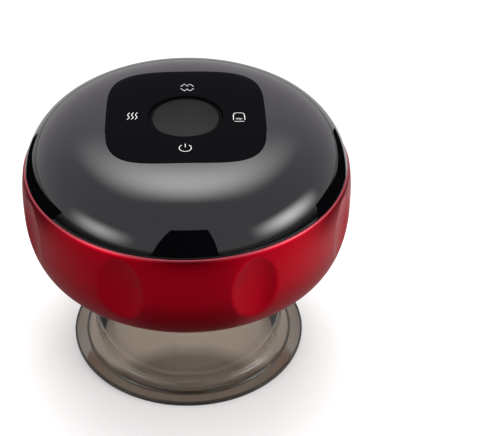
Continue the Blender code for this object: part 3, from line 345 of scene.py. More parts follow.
painted_shade_mask = maths(tree, "MAXIMUM", maths(tree, "MAXIMUM", at_edge, at_bead), at_flange)
shaded_glass_tone = mixed(tree, painted_shade_mask, clear_tone, (0.07, 0.06, 0.045, 1))
feed_all(tree, shader, Base_Color=shaded_glass_tone)
dress(cup, cup_paint, "cup", "cup_smoked", "cup")


# ---- Neck seal and socket ----
# A grey silicone ring lies on the neck's top edge and is drawn down with the cup. The black
# socket that the lugs lock into is moulded in glass-filled plastic and pressed into the neck.
seal_inner, seal_outer, seal_low, seal_high, seal_round = 0.0270, 0.0294, 0.0463, 0.0478, 0.0005
seal_outline = [
    *corner(seal_outer, seal_low, seal_round, outer_foot),
    *corner(seal_outer, seal_high, seal_round, outer_top),
    *corner(seal_inner, seal_high, seal_round, inner_top),
    *corner(seal_inner, seal_low, seal_round, inner_foot),
]
seal = new_object("neck_seal", spin_outline(seal_outline))
silicone = moulded("grey_silicone", (0.24, 0.24, 0.25), 0.55, grain=2500.0, relief=0.00004)
dress(seal, silicone, "seal_ring", "silicone", "cup_seal")


def paint_nodes(paint, slot, *names):
    """Gives CAD nodes a better material."""
    for name in names:
        nodes[name].data.materials.clear()
        nodes[name].data.materials.append(paint)


dark_plastic = moulded("glass_filled_black", (0.02, 0.02, 0.022), 0.42, drift=0.2, grain=3000.0)
paint_nodes(dark_plastic, "black_plastic", "cup_socket")


# ---- Lamp hub and suction plate ----
# The hub is moulded in gloss black: a well for the red light round a hollow post. A bright
# plated ring is glued under it, and both have the small hole that the air is drawn through.
hub_outer, hub_floor, hub_flange = 0.0265, 0.0273, 0.0335
hub_flange_low, hub_flange_high = 0.0481, 0.0501
well_outer, well_ceiling, well_roof = 0.0190, 0.0380, 0.0400
post_outer, post_end, post_top, post_bore = 0.0132, 0.0162, 0.0422, 0.0110
disc_seat_radius, disc_seat_top = 0.0125, 0.0179
hub_round = 0.0004
hub_inner, hub_web_top, web_inner = 0.0251, 0.0293, 0.0205
hub_outline = [
    *corner(post_outer, post_end, hub_round, outer_foot),
    *arc(post_outer + hub_round, well_ceiling - hub_round, hub_round, 180, 90, 3),
    *arc(well_outer - hub_round, well_ceiling - hub_round, hub_round, 90, 0, 3),
    (well_outer, hub_floor), (hub_outer, hub_floor), (hub_outer, hub_flange_low),
    (hub_flange, hub_flange_low), (hub_flange, hub_flange_high), (hub_inner, hub_flange_high),
    (hub_inner, hub_web_top), (web_inner, hub_web_top), (web_inner, well_roof),
    (post_outer, well_roof), (post_outer, post_top), (post_bore, post_top),
    (post_bore, disc_seat_top), (disc_seat_radius, disc_seat_top), (disc_seat_radius, post_end),
]
hub = new_object("lamp_hub_moulding", spin_outline(hub_outline))

window_middle = (post_outer + well_outer) / 2
window_half_width, window_half_angle = 0.0014, 35.0
window_clearance = 0.0002


def ring_piece(inner, outer, low, high, centre, half_angle):
    """A bar bent about Z, from its four corners."""
    outline = [(inner, low), (outer, low), (outer, high), (inner, high)]
    return turned_by(spin_outline(outline, 36, 2 * half_angle), centre - half_angle)


hole_radius, hole_x, hole_y = 0.0010, 0.016122, 0.016122
hole_low, hole_high = 0.0250, 0.0310


def round_bar(radius, low, high, x=0.0, y=0.0):
    """An upright round bar."""
    bm = bmesh.new()
    bmesh.ops.create_cone(
        bm, cap_ends=True, segments=32, radius1=radius, radius2=radius, depth=high - low,
        matrix=Matrix.Translation((x, y, (low + high) / 2)),
    )
    return bm


reach = window_half_width + window_clearance
clearance_angle, past_face = 0.7, 0.001
for centre in (0, 180):
    slot_bar = ring_piece(
        window_middle - reach, window_middle + reach, well_ceiling - past_face,
        well_roof + past_face, centre, window_half_angle + clearance_angle,
    )
    work_into(hub, slot_bar, "DIFFERENCE")
work_into(hub, round_bar(hole_radius, hole_low, hole_high, hole_x, hole_y), "DIFFERENCE")
hub_black = moulded(
    "hub_gloss_black", (0.006, 0.006, 0.007), 0.12, drift=0.3, handling=0.1, Coat_Weight=0.6
)
dress(hub, hub_black, "head", "hub_black", "lamp_hub")

plate_inner, plate_outer, plate_round = 0.0193, 0.0262, 0.0004
plate_low, plate_high = 0.0256, 0.0270
plate_outline = [
    *corner(plate_inner, plate_low, plate_round, inner_foot, 5),
    *corner(plate_outer, plate_low, plate_round, outer_foot, 5),
    (plate_outer, plate_high), (plate_inner, plate_high),
]
plate = new_object("suction_ring", spin_outline(plate_outline))
work_into(plate, round_bar(hole_radius, hole_low, hole_high, hole_x, hole_y), "DIFFERENCE")
brushed, given, result = node_group(
    "brushed_metal",
    {
        "Colour": (0.6, 0.6, 0.6, 1), "Roughness": 0.3, "Stretch": (200.0, 6000.0, 6000.0),
        "Contrast": 0.15,
    },
    "Colour", "Roughness", "Height",
)
drawn_out = vector_maths(brushed, "MULTIPLY", object_coordinates(brushed), given["Stretch"])
lines = noise(brushed, drawn_out, 1.0, 3.0, 0.6)
swing = maths(brushed, "SUBTRACT", lines, 0.5)
swing = maths(brushed, "MULTIPLY_ADD", swing, given["Contrast"], 1.0)
tone = vector_maths(brushed, "SCALE", given["Colour"], swing)
rough = maths(brushed, "MULTIPLY", swing, given["Roughness"])
feed_all(brushed, result, Colour=tone, Roughness=rough, Height=lines)


def worked_metal(name, colour, roughness, stretch, contrast=0.2, relief=0.000004):
    """Plated, drawn or turned metal, with its marks along the short way of the stretch."""
    made, tree, shader = principled(name, Metallic=1.0)
    effect = effect_in(
        tree, brushed, Colour=(*colour, 1), Roughness=roughness, Stretch=stretch, Contrast=contrast
    )
    wire_in(tree, shader, effect["Colour"], effect["Roughness"], effect["Height"], 0.2, relief)
    return made


chrome = worked_metal(
    "bright_plating", (0.78, 0.79, 0.8), 0.1, (900.0, 900.0, 900.0), 0.15, 0.000002
)
dress(plate, chrome, "head", "chrome", "suction_plate")


# ---- Heating disc and red windows ----
# A smooth white disc closes the post's end, with an amber film heater and a thermistor bead
# behind it. Two clear red windows in the well's roof pass the light of the four lamps; their
# red glow is painted light, set in the windows for the lit lamps behind them.
disc_radius, disc_low, disc_high, disc_round = 0.0122, 0.0159, 0.0176, 0.0005
disc_outline = [
    (0, disc_low), *corner(disc_radius, disc_low, disc_round, outer_foot, 6),
    (disc_radius, disc_high), (0, disc_high),
]
disc = new_object("white_heating_disc", spin_outline(disc_outline, 96))
disc_white = moulded("glazed_white", (0.88, 0.88, 0.87), 0.25, drift=0.03, Coat_Weight=0.5)
dress(disc, disc_white, "head", "disc_white", "heating_disc")
amber = moulded(
    "polyimide_film", (0.52, 0.25, 0.04), 0.35, drift=0.25, grain=1500.0, Coat_Weight=0.3
)
paint_nodes(amber, "film_amber", "heater_film")
bead_black = moulded("bead_epoxy", (0.02, 0.02, 0.02), 0.3, drift=0.2, grain=5000.0)
paint_nodes(bead_black, "black_plastic", "thermistor")

# Painted light: an emitted red glow in the windows stands in for the lit lamps behind them.
window_red = moulded(
    "clear_red", (0.75, 0.012, 0.012), 0.12, drift=0.1, Transmission_Weight=0.4,
    Emission_Color=(1.0, 0.02, 0.015, 1), Emission_Strength=0.35,
)
window_top, lip_half_width, lip_low, lip_high = 0.0406, 0.0021, 0.0403, 0.0410
for side, centre in (("right", 0), ("left", 180)):
    body, lip = (
        ring_piece(window_middle - half, window_middle + half, low, high, centre, window_half_angle)
        for half, low, high in (
            (window_half_width, well_ceiling, window_top), (lip_half_width, lip_low, lip_high),
        )
    )
    window = new_object(f"red_light_window_{side}", body)
    work_into(window, lip, "UNION")
    dress(window, window_red, "head", "window_red", f"red_window_{side}")


# ---- Lamp board ----
# A ring of green glass-fibre board on the post's shoulder, with four pink clear-resin lamps.
circuit, given, result = node_group(
    "circuit_board",
    {"Mask Colour": (0.01, 0.1, 0.04, 1), "Track Colour": (0.03, 0.2, 0.07, 1), "Pitch": 420.0},
    "Colour", "Height",
)
cells = circuit.nodes.new("ShaderNodeTexVoronoi")
cells.feature, cells.distance = "F1", "MANHATTAN"
feed_all(circuit, cells, Vector=object_coordinates(circuit), Scale=given["Pitch"])
wave = maths(circuit, "FRACT", maths(circuit, "MULTIPLY", cells.outputs["Distance"], 3.5))
track = maths(circuit, "GREATER_THAN", wave, 0.62)
blend = mixed(circuit, track, given["Mask Colour"], given["Track Colour"])
feed_all(circuit, result, Colour=blend, Height=track)

board_green, tree, shader = principled("solder_mask")
effect = effect_in(tree, circuit)
rough = maths(tree, "MULTIPLY_ADD", effect["Height"], -0.1, 0.4)
wire_in(tree, shader, effect["Colour"], rough, effect["Height"], 0.5, 0.00003)
paint_nodes(board_green, "board_green", "led_board", "main_board", "usb_board")
lamp_resin = moulded("lamp_resin", (0.75, 0.34, 0.3), 0.2, drift=0.12, Coat_Weight=0.5)
paint_nodes(lamp_resin, "led_pale", "red_led_1", "red_led_2", "red_led_3", "red_led_4")


# ---- Lower housing ----
# A bowl moulded in plastic and sprayed in satin red metallic paint, with eight finger
# dimples, a stepped lip round the cup's neck, a vent hole, and the charging slot at the back.
equator, head_radius, crown_rise, bowl_drop, foot_radius = 0.0523, 0.0480, 0.0277, 0.0182, 0.0360
dome_side, dome_top, bowl_side, bowl_foot = 4.71, 2.9, 2.93, 2.26
seam, housing_wall, neck_hole = 0.0646, 0.0024, 0.0312


def dome_outline(angle, inset=0.0, sunk=None):
    """The head above its widest line. Angle 0 is that line and 90 the crown."""
    c, s = math.cos(math.radians(angle)), math.sin(math.radians(angle))
    return (
        (head_radius - inset) * max(c, 0) ** (2 / dome_side),
        equator + (crown_rise - (inset if sunk is None else sunk)) * s ** (2 / dome_top),
    )


def bowl_outline(angle, inset=0.0):
    """The head below its widest line. Angle 0 is that line and 90 the flat foot."""
    c, s = math.cos(math.radians(angle)), math.sin(math.radians(angle))
    width = head_radius - foot_radius - inset
    return (
        foot_radius + width * max(c, 0) ** (2 / bowl_side),
        equator - (bowl_drop - inset) * s ** (2 / bowl_foot),
    )


def angle_at(rise, inset=0.0):
    return math.degrees(math.asin((rise / (crown_rise - inset)) ** (dome_top / 2)))


foot = equator - bowl_drop
lip_round = 0.0005
seam_angle = angle_at(seam - equator)
rim_radius = dome_outline(seam_angle)[0]
outside = [bowl_outline(90 * (1 - (k / 48) ** 1.25)) for k in range(1, 49)]
outside += [dome_outline(seam_angle * (k / 24) ** 0.8) for k in range(1, 22)]
rim_inner, rim_chamfer = rim_radius - 0.0011, 0.0002
rim = [
    *arc(rim_radius - lip_round, seam - lip_round, lip_round, 10, 90, 5), (rim_inner, seam),
    (rim_inner - rim_chamfer, seam - rim_chamfer),
]
inner_angle = angle_at(seam - equator, housing_wall)
inside = [dome_outline(inner_angle * (1 - k / 8), housing_wall) for k in range(9)]
inside += [bowl_outline(90 * k / 14, housing_wall) for k in range(1, 15)]
groove_outer, groove_inner, groove_depth = 0.0352, 0.0342, 0.0009
inner_edge, outer_edge = 0.0002, 0.0003
neck_lip = [
    *corner(neck_hole, foot, lip_round, inner_foot),
    *corner(groove_inner, foot, inner_edge, outer_foot, 2),
    (groove_inner, foot + groove_depth), (groove_outer, foot + groove_depth),
    *corner(groove_outer, foot, outer_edge, inner_foot, 3),
]
housing_outline = neck_lip + outside + rim + inside + [(neck_hole, foot + housing_wall)]
housing_mesh = spin_outline(housing_outline, 400)

dimple_depth, dimple_half_angle, dimple_half_height, dimple_rise = 0.0016, 8.0, 0.0104, 0.0002
for vert in housing_mesh.verts:
    radius = math.hypot(vert.co.x, vert.co.y)
    if radius < head_radius - 0.75 * housing_wall:
        continue
    across = (math.degrees(math.atan2(vert.co.y, vert.co.x)) % 45 - 22.5) / dimple_half_angle
    up = (vert.co.z - equator - dimple_rise) / dimple_half_height
    room = 1 - across * across - up * up
    if room > 0:
        depth = dimple_depth * room ** 0.9
        vert.co.xy *= 1 - depth / radius
housing = new_object("red_housing", housing_mesh)


def bevelled(bm, edges, width, segments):
    bmesh.ops.bevel(
        bm, geom=edges, offset=width, offset_type="OFFSET", segments=segments, profile=0.5,
        affect="EDGES", material=-1,
    )
    return bm


def block_along_y(width, height, start_y, end_y, z):
    bm = bmesh.new()
    place = Matrix.Translation((0, (start_y + end_y) / 2, z))
    size = Matrix.Diagonal((width, end_y - start_y, height, 1))
    bmesh.ops.create_cube(bm, size=1, matrix=place @ size)
    return bm


def upright_slot(width, height, start_y, end_y, z):
    """A flat bar with round ends that runs along Y."""
    just_under_half = 0.499
    bm = block_along_y(width, height, start_y, end_y, z)
    corners = [e for e in bm.edges if abs(e.verts[0].co.y - e.verts[1].co.y) > 1e-6]
    return bevelled(bm, corners, height * just_under_half, 8)


slot_width, slot_height, slot_z, slot_back, slot_front = 0.0110, 0.0048, 0.0550, 0.0430, 0.0500
slot = upright_slot(slot_width, slot_height, slot_back, slot_front, slot_z)
work_into(housing, slot, "DIFFERENCE")
boss_circle, boss_radius, boss_low, boss_top = 0.0381, 0.0028, foot + 0.0018, 0.0501
boss_bore, boss_bore_low, vent_radius, vent_top = 0.0011, 0.0411, 0.0007, foot + 0.0045
for k in range(4):
    angle = math.radians(45 + 90 * k)
    x, y = boss_circle * math.cos(angle), boss_circle * math.sin(angle)
    work_into(housing, round_bar(boss_radius, boss_low, boss_top, x, y), "UNION")
    bore = round_bar(boss_bore, boss_bore_low, boss_top + past_face, x, y)
    work_into(housing, bore, "DIFFERENCE")
vent = round_bar(vent_radius, foot - past_face, vent_top, 0, boss_circle)
work_into(housing, vent, "DIFFERENCE")

red_paint, tree, shader = principled("red_metallic_paint", Metallic=1.0)
effect = effect_in(
    tree, surface, Colour=(0.46, 0.0015, 0.013, 1), Drift=0.05, Grain_Scale=5200.0, Roughness=0.36,
    Handling=0.06,
)
flakes = tree.nodes.new("ShaderNodeTexVoronoi")
feed_all(tree, flakes, Vector=object_coordinates(tree), Scale=4200.0)
split = tree.nodes.new("ShaderNodeSeparateColor")
feed(tree, split.inputs[0], flakes.outputs["Color"])
glint = maths(tree, "MULTIPLY", split.outputs[0], 0.5)
sparkle = mixed(tree, glint, effect["Colour"], (0.12, 0.001, 0.003, 1), "ADD")
# Painted highlight: a pale pink band along the top of the rim's lip, where the light from above
# catches it.
highlight_low, highlight_high = seam - 0.0006, seam - 0.0003
rim_highlight = stretched(tree, place_xyz(tree)["Z"], highlight_low, highlight_high, 0.0, 0.6)
paint_with_rim_highlight = mixed(tree, rim_highlight, sparkle, (0.30, 0.10, 0.12, 1))
wire_in(tree, shader, paint_with_rim_highlight, effect["Roughness"], split.outputs[1], 0.12, 0.00001)
dress(housing, red_paint, "head", "red_paint", "lower_housing", sharp=30)


# ---- Inner frame, battery, pump, valve and wiring ----
# The black tray carries a round cell, a small diaphragm pump on its motor, and the release
# valve, joined by clear silicone tubes. Screws, leads and springs are plated or insulated.
tray_black = moulded("tray_black", (0.025, 0.025, 0.028), 0.5, drift=0.2)
paint_nodes(tray_black, "black_plastic", "mid_frame")
steel_x = worked_metal("drawn_steel", (0.56, 0.57, 0.59), 0.28, (400.0, 5000.0, 5000.0))
steel_z = worked_metal("screw_steel", (0.55, 0.55, 0.57), 0.25, (5000.0, 5000.0, 500.0))
screws = [f"{kind}_screw_{k}" for kind in ("frame", "board") for k in range(1, 5)]
paint_nodes(steel_z, "steel", *screws)
paint_nodes(steel_x, "steel", "pump_shaft", "pump_crank_pin", "valve_body", "valve_plunger")
brass = worked_metal("turned_brass", (0.62, 0.45, 0.18), 0.25, (6000.0, 700.0, 700.0))
paint_nodes(brass, "brass", "pump_crank")
paint_nodes(dark_plastic, "black_plastic", "pump_base")
cream = moulded("cream_acetal", (0.72, 0.72, 0.68), 0.4, drift=0.05, grain=2500.0)
paint_nodes(cream, "pale_plastic", "pump_cap", "pump_wobble_plate", "air_manifold")
rubber = moulded(
    "black_rubber", (0.035, 0.035, 0.035), 0.7, drift=0.25, grain=2000.0, relief=0.00005
)
paint_nodes(rubber, "black_rubber", "pump_diaphragm")
hose = moulded(
    "clear_silicone", (0.75, 0.75, 0.72), 0.3, drift=0.05, grain=1800.0, Transmission_Weight=0.5
)
paint_nodes(hose, "silicone", "suction_tube", "pump_tube", "sensor_tube", "valve_tube")
grey_case = moulded("grey_resin", (0.16, 0.16, 0.17), 0.45, drift=0.15, grain=2500.0)
paint_nodes(grey_case, "grey_plastic", "display_module", "pressure_sensor")
gilt = worked_metal("gilt_wire", (0.72, 0.58, 0.3), 0.22, (3000.0, 3000.0, 3000.0))
lead_red = moulded("lead_red", (0.5, 0.02, 0.02), 0.4, drift=0.12, grain=1500.0)
lead_black = moulded("lead_black", (0.015, 0.015, 0.015), 0.4, drift=0.2, grain=1500.0)
paint_nodes(lead_red, "lead_red", "battery_lead_red", "motor_lead_red")
paint_nodes(lead_black, "lead_black", "battery_lead_black", "motor_lead_black")


def laid_along_x(bm, start, side, height):
    """Lays a mesh that was turned about Z along X, with its foot at start."""
    place = Matrix.Translation((start, side, height)) @ Matrix.Rotation(math.pi / 2, 4, "Y")
    bmesh.ops.transform(bm, matrix=place, verts=bm.verts)
    return bm


motor_back, motor_side, motor_height = -0.0350, 0.0140, 0.0614
motor_radius, motor_edge = 0.0090, 0.0006
motor_length, motor_nose_radius, motor_nose_end = 0.02003, 0.0030, 0.02103
shaft_hole_radius, shaft_hole_end = 0.0013, 0.01202
crimp_height, crimp_depth, terminal_disc_radius = 0.0024, 0.0002, 0.0068
motor_outline = [
    (0, crimp_depth), (terminal_disc_radius, crimp_depth), (terminal_disc_radius + crimp_depth, 0),
    *corner(motor_radius, 0, motor_edge, outer_foot),
    (motor_radius, crimp_height - crimp_depth), (motor_radius - crimp_depth, crimp_height),
    (motor_radius, crimp_height + crimp_depth),
    *corner(motor_radius, motor_length, motor_edge, outer_top),
    (motor_nose_radius, motor_length), (motor_nose_radius, motor_nose_end),
    (shaft_hole_radius, motor_nose_end), (shaft_hole_radius, shaft_hole_end), (0, shaft_hole_end),
]
motor = laid_along_x(spin_outline(motor_outline, 72), motor_back, motor_side, motor_height)
dress(new_object("pump_motor_can", motor), steel_x, "head", "steel", "pump_motor", sharp=25)

tube_outer, tube_inner, tube_round = 0.0020, 0.0012, 0.0002
tube_x, tube_y, tube_low, tube_high = 0.01612, 0.01612, 0.0606, 0.0672
tube_outline = [
    *corner(tube_outer, tube_low, tube_round, outer_foot, 3),
    *corner(tube_outer, tube_high, tube_round, outer_top, 3),
    (tube_inner, tube_high), (tube_inner, tube_low),
]
sensor_hose = spin_outline(tube_outline, 48)
bmesh.ops.translate(sensor_hose, verts=sensor_hose.verts, vec=(tube_x, tube_y, 0))
dress(new_object("sensor_hose", sensor_hose), hose, "head", "silicone", "sensor_tube")


def coil(wire, start, centre, axis, length, turns, steps):
    """A coil of wire, wound about an axis from a start at one side of it."""
    bm = bmesh.new()
    place = Matrix.Translation(start) @ Matrix.Rotation(math.pi / 2, 4, "X")
    bmesh.ops.create_circle(bm, cap_ends=True, segments=10, radius=wire, matrix=place)
    bmesh.ops.spin(
        bm, geom=[*bm.verts, *bm.edges, *bm.faces], cent=centre, axis=axis,
        dvec=Vector(axis) * (length / steps), angle=turns * math.tau, steps=steps, use_merge=False,
    )
    bmesh.ops.recalc_face_normals(bm, faces=bm.faces)
    return bm


contact_radius, contact_taper, contact_wire, contact_turns = 0.0032, 0.0008, 0.00025, 2.5
contact_low, contact_length = 0.0730, 0.0020
contact_places = [(0, -0.0170), (-0.0150, 0), (0, 0.0142), (0.0150, 0)]
for number, (x, y) in enumerate(contact_places, 1):
    contact = coil(
        contact_wire, (contact_radius, 0, contact_low), (0, 0, 0), (0, 0, 1), contact_length,
        contact_turns, 90,
    )
    for vert in contact.verts:
        share = (vert.co.z - contact_low) / contact_length
        vert.co.xy = vert.co.xy * (1 - contact_taper / contact_radius * share)
    bmesh.ops.translate(contact, verts=contact.verts, vec=(x, y, 0))
    contact = new_object(f"touch_contact_spring_{number}", contact)
    dress(contact, gilt, "head", "spring_gilt", f"touch_spring_{number}")

spring_start, spring_length, spring_y, spring_z = -0.0060, 0.0052, 0.0302, 0.0571
coil_radius, spring_wire, coils = 0.0018, 0.0002, 5.5
spring = coil(
    spring_wire, (spring_start, spring_y, spring_z + coil_radius), (0, spring_y, spring_z),
    (1, 0, 0), spring_length, coils, 132,
)
spring = new_object("valve_return_spring", spring)
dress(spring, steel_z, "head", "steel", "valve_spring")
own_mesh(spring)

cell_radius, cell_edge, cell_half_length, sleeve_half_length = 0.0092, 0.0008, 0.0325, 0.0312
cell_side, cell_height, button_radius, button_height = -0.0140, 0.0616, 0.0035, 0.0008
groove_depth, groove_half_width, groove_height = 0.0004, 0.0005, 0.0612
cell_shoulder = 2 * cell_half_length - button_height
sleeve, tree, shader = principled("shrink_sleeve")
from_middle = maths(tree, "ABSOLUTE", place_xyz(tree)["X"])
bare = maths(tree, "GREATER_THAN", from_middle, sleeve_half_length)
wrinkle = noise(tree, object_coordinates(tree), 900.0)
blue = mixed(tree, wrinkle, (0.02, 0.12, 0.36, 1), (0.04, 0.17, 0.45, 1))
blue_or_steel = mixed(tree, bare, blue, (0.6, 0.6, 0.6, 1))
rough = maths(tree, "MULTIPLY_ADD", wrinkle, 0.1, 0.28)
wire_in(tree, shader, blue_or_steel, rough, wrinkle, 0.3, 0.00004)
feed_all(tree, shader, Metallic=bare)
cell_outline = [
    (0, 0), *corner(cell_radius, 0, cell_edge, outer_foot),
    (cell_radius, groove_height - 2 * groove_half_width),
    (cell_radius - groove_depth, groove_height - groove_half_width),
    (cell_radius - groove_depth, groove_height + groove_half_width),
    (cell_radius, groove_height + 2 * groove_half_width),
    *corner(cell_radius, cell_shoulder, cell_edge, outer_top), (button_radius, cell_shoulder),
    (button_radius, 2 * cell_half_length), (0, 2 * cell_half_length),
]
cell = laid_along_x(spin_outline(cell_outline, 96), -cell_half_length, cell_side, cell_height)
dress(new_object("battery_cell", cell), sleeve, "head", "battery_sleeve", "battery")


# ---- Charging socket ----
# A drawn steel shell with a black tongue behind the slot in the housing's back.
shell_width, shell_height, shell_back, shell_front = 0.00894, 0.0032, 0.0390, 0.0463
mouth_width, mouth_height, mouth_back = 0.00834, 0.00256, 0.0413
tongue_width, tongue_thickness, tongue_front, tongue_edge = 0.0067, 0.0007, 0.0455, 0.00015
shell = upright_slot(shell_width, shell_height, shell_back, shell_front, slot_z)
shell = new_object("charging_shell", shell)
mouth = upright_slot(mouth_width, mouth_height, mouth_back, shell_front + past_face, slot_z)
work_into(shell, mouth, "DIFFERENCE")
dress(shell, steel_x, "head", "steel", "usb_port")
tongue = block_along_y(tongue_width, tongue_thickness, mouth_back, tongue_front, slot_z)
tongue = new_object("charging_tongue", bevelled(tongue, tongue.edges[:], tongue_edge, 2))
dress(tongue, dark_plastic, "head", "black_plastic")


# ---- Top cover ----
# The dome is moulded in plastic with a high-gloss gunmetal coat. It stands a hair's breadth
# inside the red rim, over a thin dark gap, and is recessed for the touch panel.
rim_inset, seam_gap, cover_wall = 0.0004, 0.0002, 0.0022
cover_low = seam + seam_gap
skirt_outer, skirt_inner, skirt_low = 0.0448, 0.0434, 0.0609
panel_half_x, panel_half_y, panel_power = 0.0224, 0.0237, 4.0
panel_floor, pad_low, pad_radius, lens_hole = 0.0776, 0.0756, 0.0275, 0.0090
edge_round, pad_margin, skirt_margin, skirt_shoulder = 0.0001, 0.0003, 0.0002, 0.002


def crown_at(radius):
    """The height of the cover's outer face at a radius."""
    across = (radius / (head_radius - rim_inset)) ** (dome_side / 2)
    return equator + crown_rise * (1 - across * across) ** (1 / dome_top)


start, last, inner_last, inner_step = angle_at(cover_low + edge_round - equator), 88, 86, 3
outer_face = [dome_outline(start + (last - start) * k / 60, rim_inset, 0) for k in range(61)]
inner_face = [dome_outline(inner_last - inner_step * k, rim_inset + cover_wall) for k in range(24)]
edge_radius = outer_face[0][0]
cover_outline = [
    (skirt_inner, skirt_low), (skirt_outer, skirt_low), (skirt_outer, cover_low),
    *arc(edge_radius - edge_round, cover_low + edge_round, edge_round, -90, -15, 4), *outer_face,
    (lens_hole, crown_at(lens_hole)), (lens_hole, pad_low), (pad_radius, pad_low),
    *(p for p in inner_face if pad_radius + pad_margin < p[0] < skirt_inner - skirt_margin),
    (skirt_inner, cover_low + skirt_shoulder),
]
cover = new_object("gunmetal_cover", spin_outline(cover_outline, 240))


def raised(bm, faces):
    """Extrudes faces, and returns the vertices that this makes."""
    made = bmesh.ops.extrude_face_region(bm, geom=faces)["geom"]
    return {v for v in made if isinstance(v, bmesh.types.BMVert)}


def squircle_loop(bm, half_x, half_y, z):
    """A loop of edges in the panel's outline, a square with very full corners."""
    ring = bmesh.ops.create_circle(bm, cap_ends=False, segments=160, radius=1)["verts"]
    for vert in ring:
        c, s = vert.co.x, vert.co.y
        vert.co = (
            half_x * math.copysign(abs(c) ** (2 / panel_power), c),
            half_y * math.copysign(abs(s) ** (2 / panel_power), s),
            z,
        )
    return ring


panel_gap, recess_height = 0.00012, 0.004
recess = bmesh.new()
low_ring = squircle_loop(recess, panel_half_x + panel_gap, panel_half_y + panel_gap, panel_floor)
for vert in raised(recess, [recess.faces.new(low_ring)]):
    vert.co.z += recess_height
bmesh.ops.recalc_face_normals(recess, faces=recess.faces)
work_into(cover, recess, "DIFFERENCE")
gunmetal = moulded(
    "gunmetal_coat", (0.0014, 0.0013, 0.0018), 0.3, drift=0.06, grain=5200.0, handling=0.03,
    relief=0.000002, Coat_Weight=1.0, Coat_Roughness=0.025, Specular_IOR_Level=0.0,
)
dress(cover, gunmetal, "head", "gunmetal_gloss", "top_cover", sharp=30)


# ---- Touch panel, display lens and symbols ----
# A black film-faced panel is glued into the recess, level with the dome. A smoked lens lies
# lower in its round window. The four touch symbols are printed in white.
window_radius, window_y, panel_low, panel_edge, facet = 0.0105, -0.0008, 0.0779, 0.0785, 0.00025
panel = bmesh.new()
squircle_loop(panel, panel_half_x, panel_half_y, 0)
window_place = Matrix.Translation((0, window_y, 0))
bmesh.ops.create_circle(
    panel, cap_ends=False, segments=160, radius=window_radius, matrix=window_place
)
rings = panel.edges[:]
bmesh.ops.bridge_loops(panel, edges=rings)
spokes = [e for e in panel.edges if e not in rings]
bmesh.ops.subdivide_edges(panel, edges=spokes, cuts=14, use_grid_fill=True)
top = raised(panel, panel.faces[:])
for vert in panel.verts:
    vert.co.z = crown_at(vert.co.xy.length) if vert in top else panel_low
bmesh.ops.recalc_face_normals(panel, faces=panel.faces)
crests = [e for e in panel.edges if len(e.link_faces) == 2 and e.calc_face_angle(0) > 1.0]
crests = [e for e in crests if e.verts[0].co.z > panel_edge]
panel = new_object("black_touch_panel", bevelled(panel, crests, facet, 3))
film_black = moulded(
    "black_touch_film", (0.0026, 0.0025, 0.0035), 0.35, drift=0.2, handling=0.12,
    Specular_IOR_Level=0.006,
)
dress(panel, film_black, "head", "panel_black", "touch_panel")

lens_radius, lens_low, lens_high, lens_round, lens_bow = 0.0104, 0.0779, 0.0794, 0.0002, 0.0001
clear_half_x, clear_half_y, clear_y = 0.0093, 0.01035, -0.00135
lens_outline = [
    (0, lens_low), (lens_radius, lens_low),
    *corner(lens_radius, lens_high, lens_round, outer_top), (0, lens_high + lens_bow),
]
lens = spin_outline(lens_outline, 96)
bmesh.ops.translate(lens, verts=lens.verts, vec=(0, window_y, 0))
lens = new_object("smoked_display_lens", lens)
lens_smoke = moulded(
    "smoked_acrylic", (0.021, 0.020, 0.0205), 0.3, drift=0.5, grain=60.0, handling=0.15,
    Specular_IOR_Level=0.015,
)
tree = lens_smoke.node_tree
shader = tree.nodes["Principled BSDF"]
face = shader.inputs["Base Color"].links[0].from_socket
# Painted shade on the lens: its tone darkens towards the back, and a near-black band round its
# clear middle, partly its dark edge and partly painted shade under the window's rim, runs round the
# back and sides and is missing at the front.
spot = place_xyz(tree)
along_x = maths(tree, "MULTIPLY", spot["X"], 1 / clear_half_x)
along_y = maths(tree, "MULTIPLY_ADD", spot["Y"], 1 / clear_half_y, -clear_y / clear_half_y)
reach = maths(tree, "MULTIPLY_ADD", along_y, along_y, maths(tree, "MULTIPLY", along_x, along_x))
painted_shade = stretched(tree, spot["Y"], lens_radius, -lens_radius, 0.58, 1.4)
border_and_painted_shade = maths(tree, "GREATER_THAN", reach, 1.0)
shaded = vector_maths(tree, "SCALE", face, painted_shade)
tone_with_border_and_shade = mixed(tree, border_and_painted_shade, shaded, (0.0015, 0.0015, 0.0015, 1))
feed_all(tree, shader, Base_Color=tone_with_border_and_shade)
dress(lens, lens_smoke, "head", "lens_smoked", "display_lens")


def printed_symbol(name, centre, strokes, width=0.00023):
    """White line work, laid on the panel's curve. Strokes are lists of points in millimetres."""
    curve = bpy.data.curves.new(name, "CURVE")
    curve.dimensions = "3D"
    curve.bevel_depth = width / 2
    curve.bevel_resolution = 3
    curve.use_fill_caps = True
    for stroke in strokes:
        spline = curve.splines.new("POLY")
        spline.points.add(len(stroke) - 1)
        for point, (x, y) in zip(spline.points, stroke):
            point.co = (x / 1000, y / 1000, 0, 1)
    drawn = placed(name, curve)
    mesh = worked_mesh(drawn)
    bpy.data.objects.remove(drawn)
    for vert in mesh.vertices:
        x, y = vert.co.x + centre[0], vert.co.y + centre[1]
        vert.co = (x, y, crown_at(math.hypot(x, y)) + print_lift + vert.co.z * print_flatness)
    return dress(placed(name, mesh), print_white, "head", "disc_white")


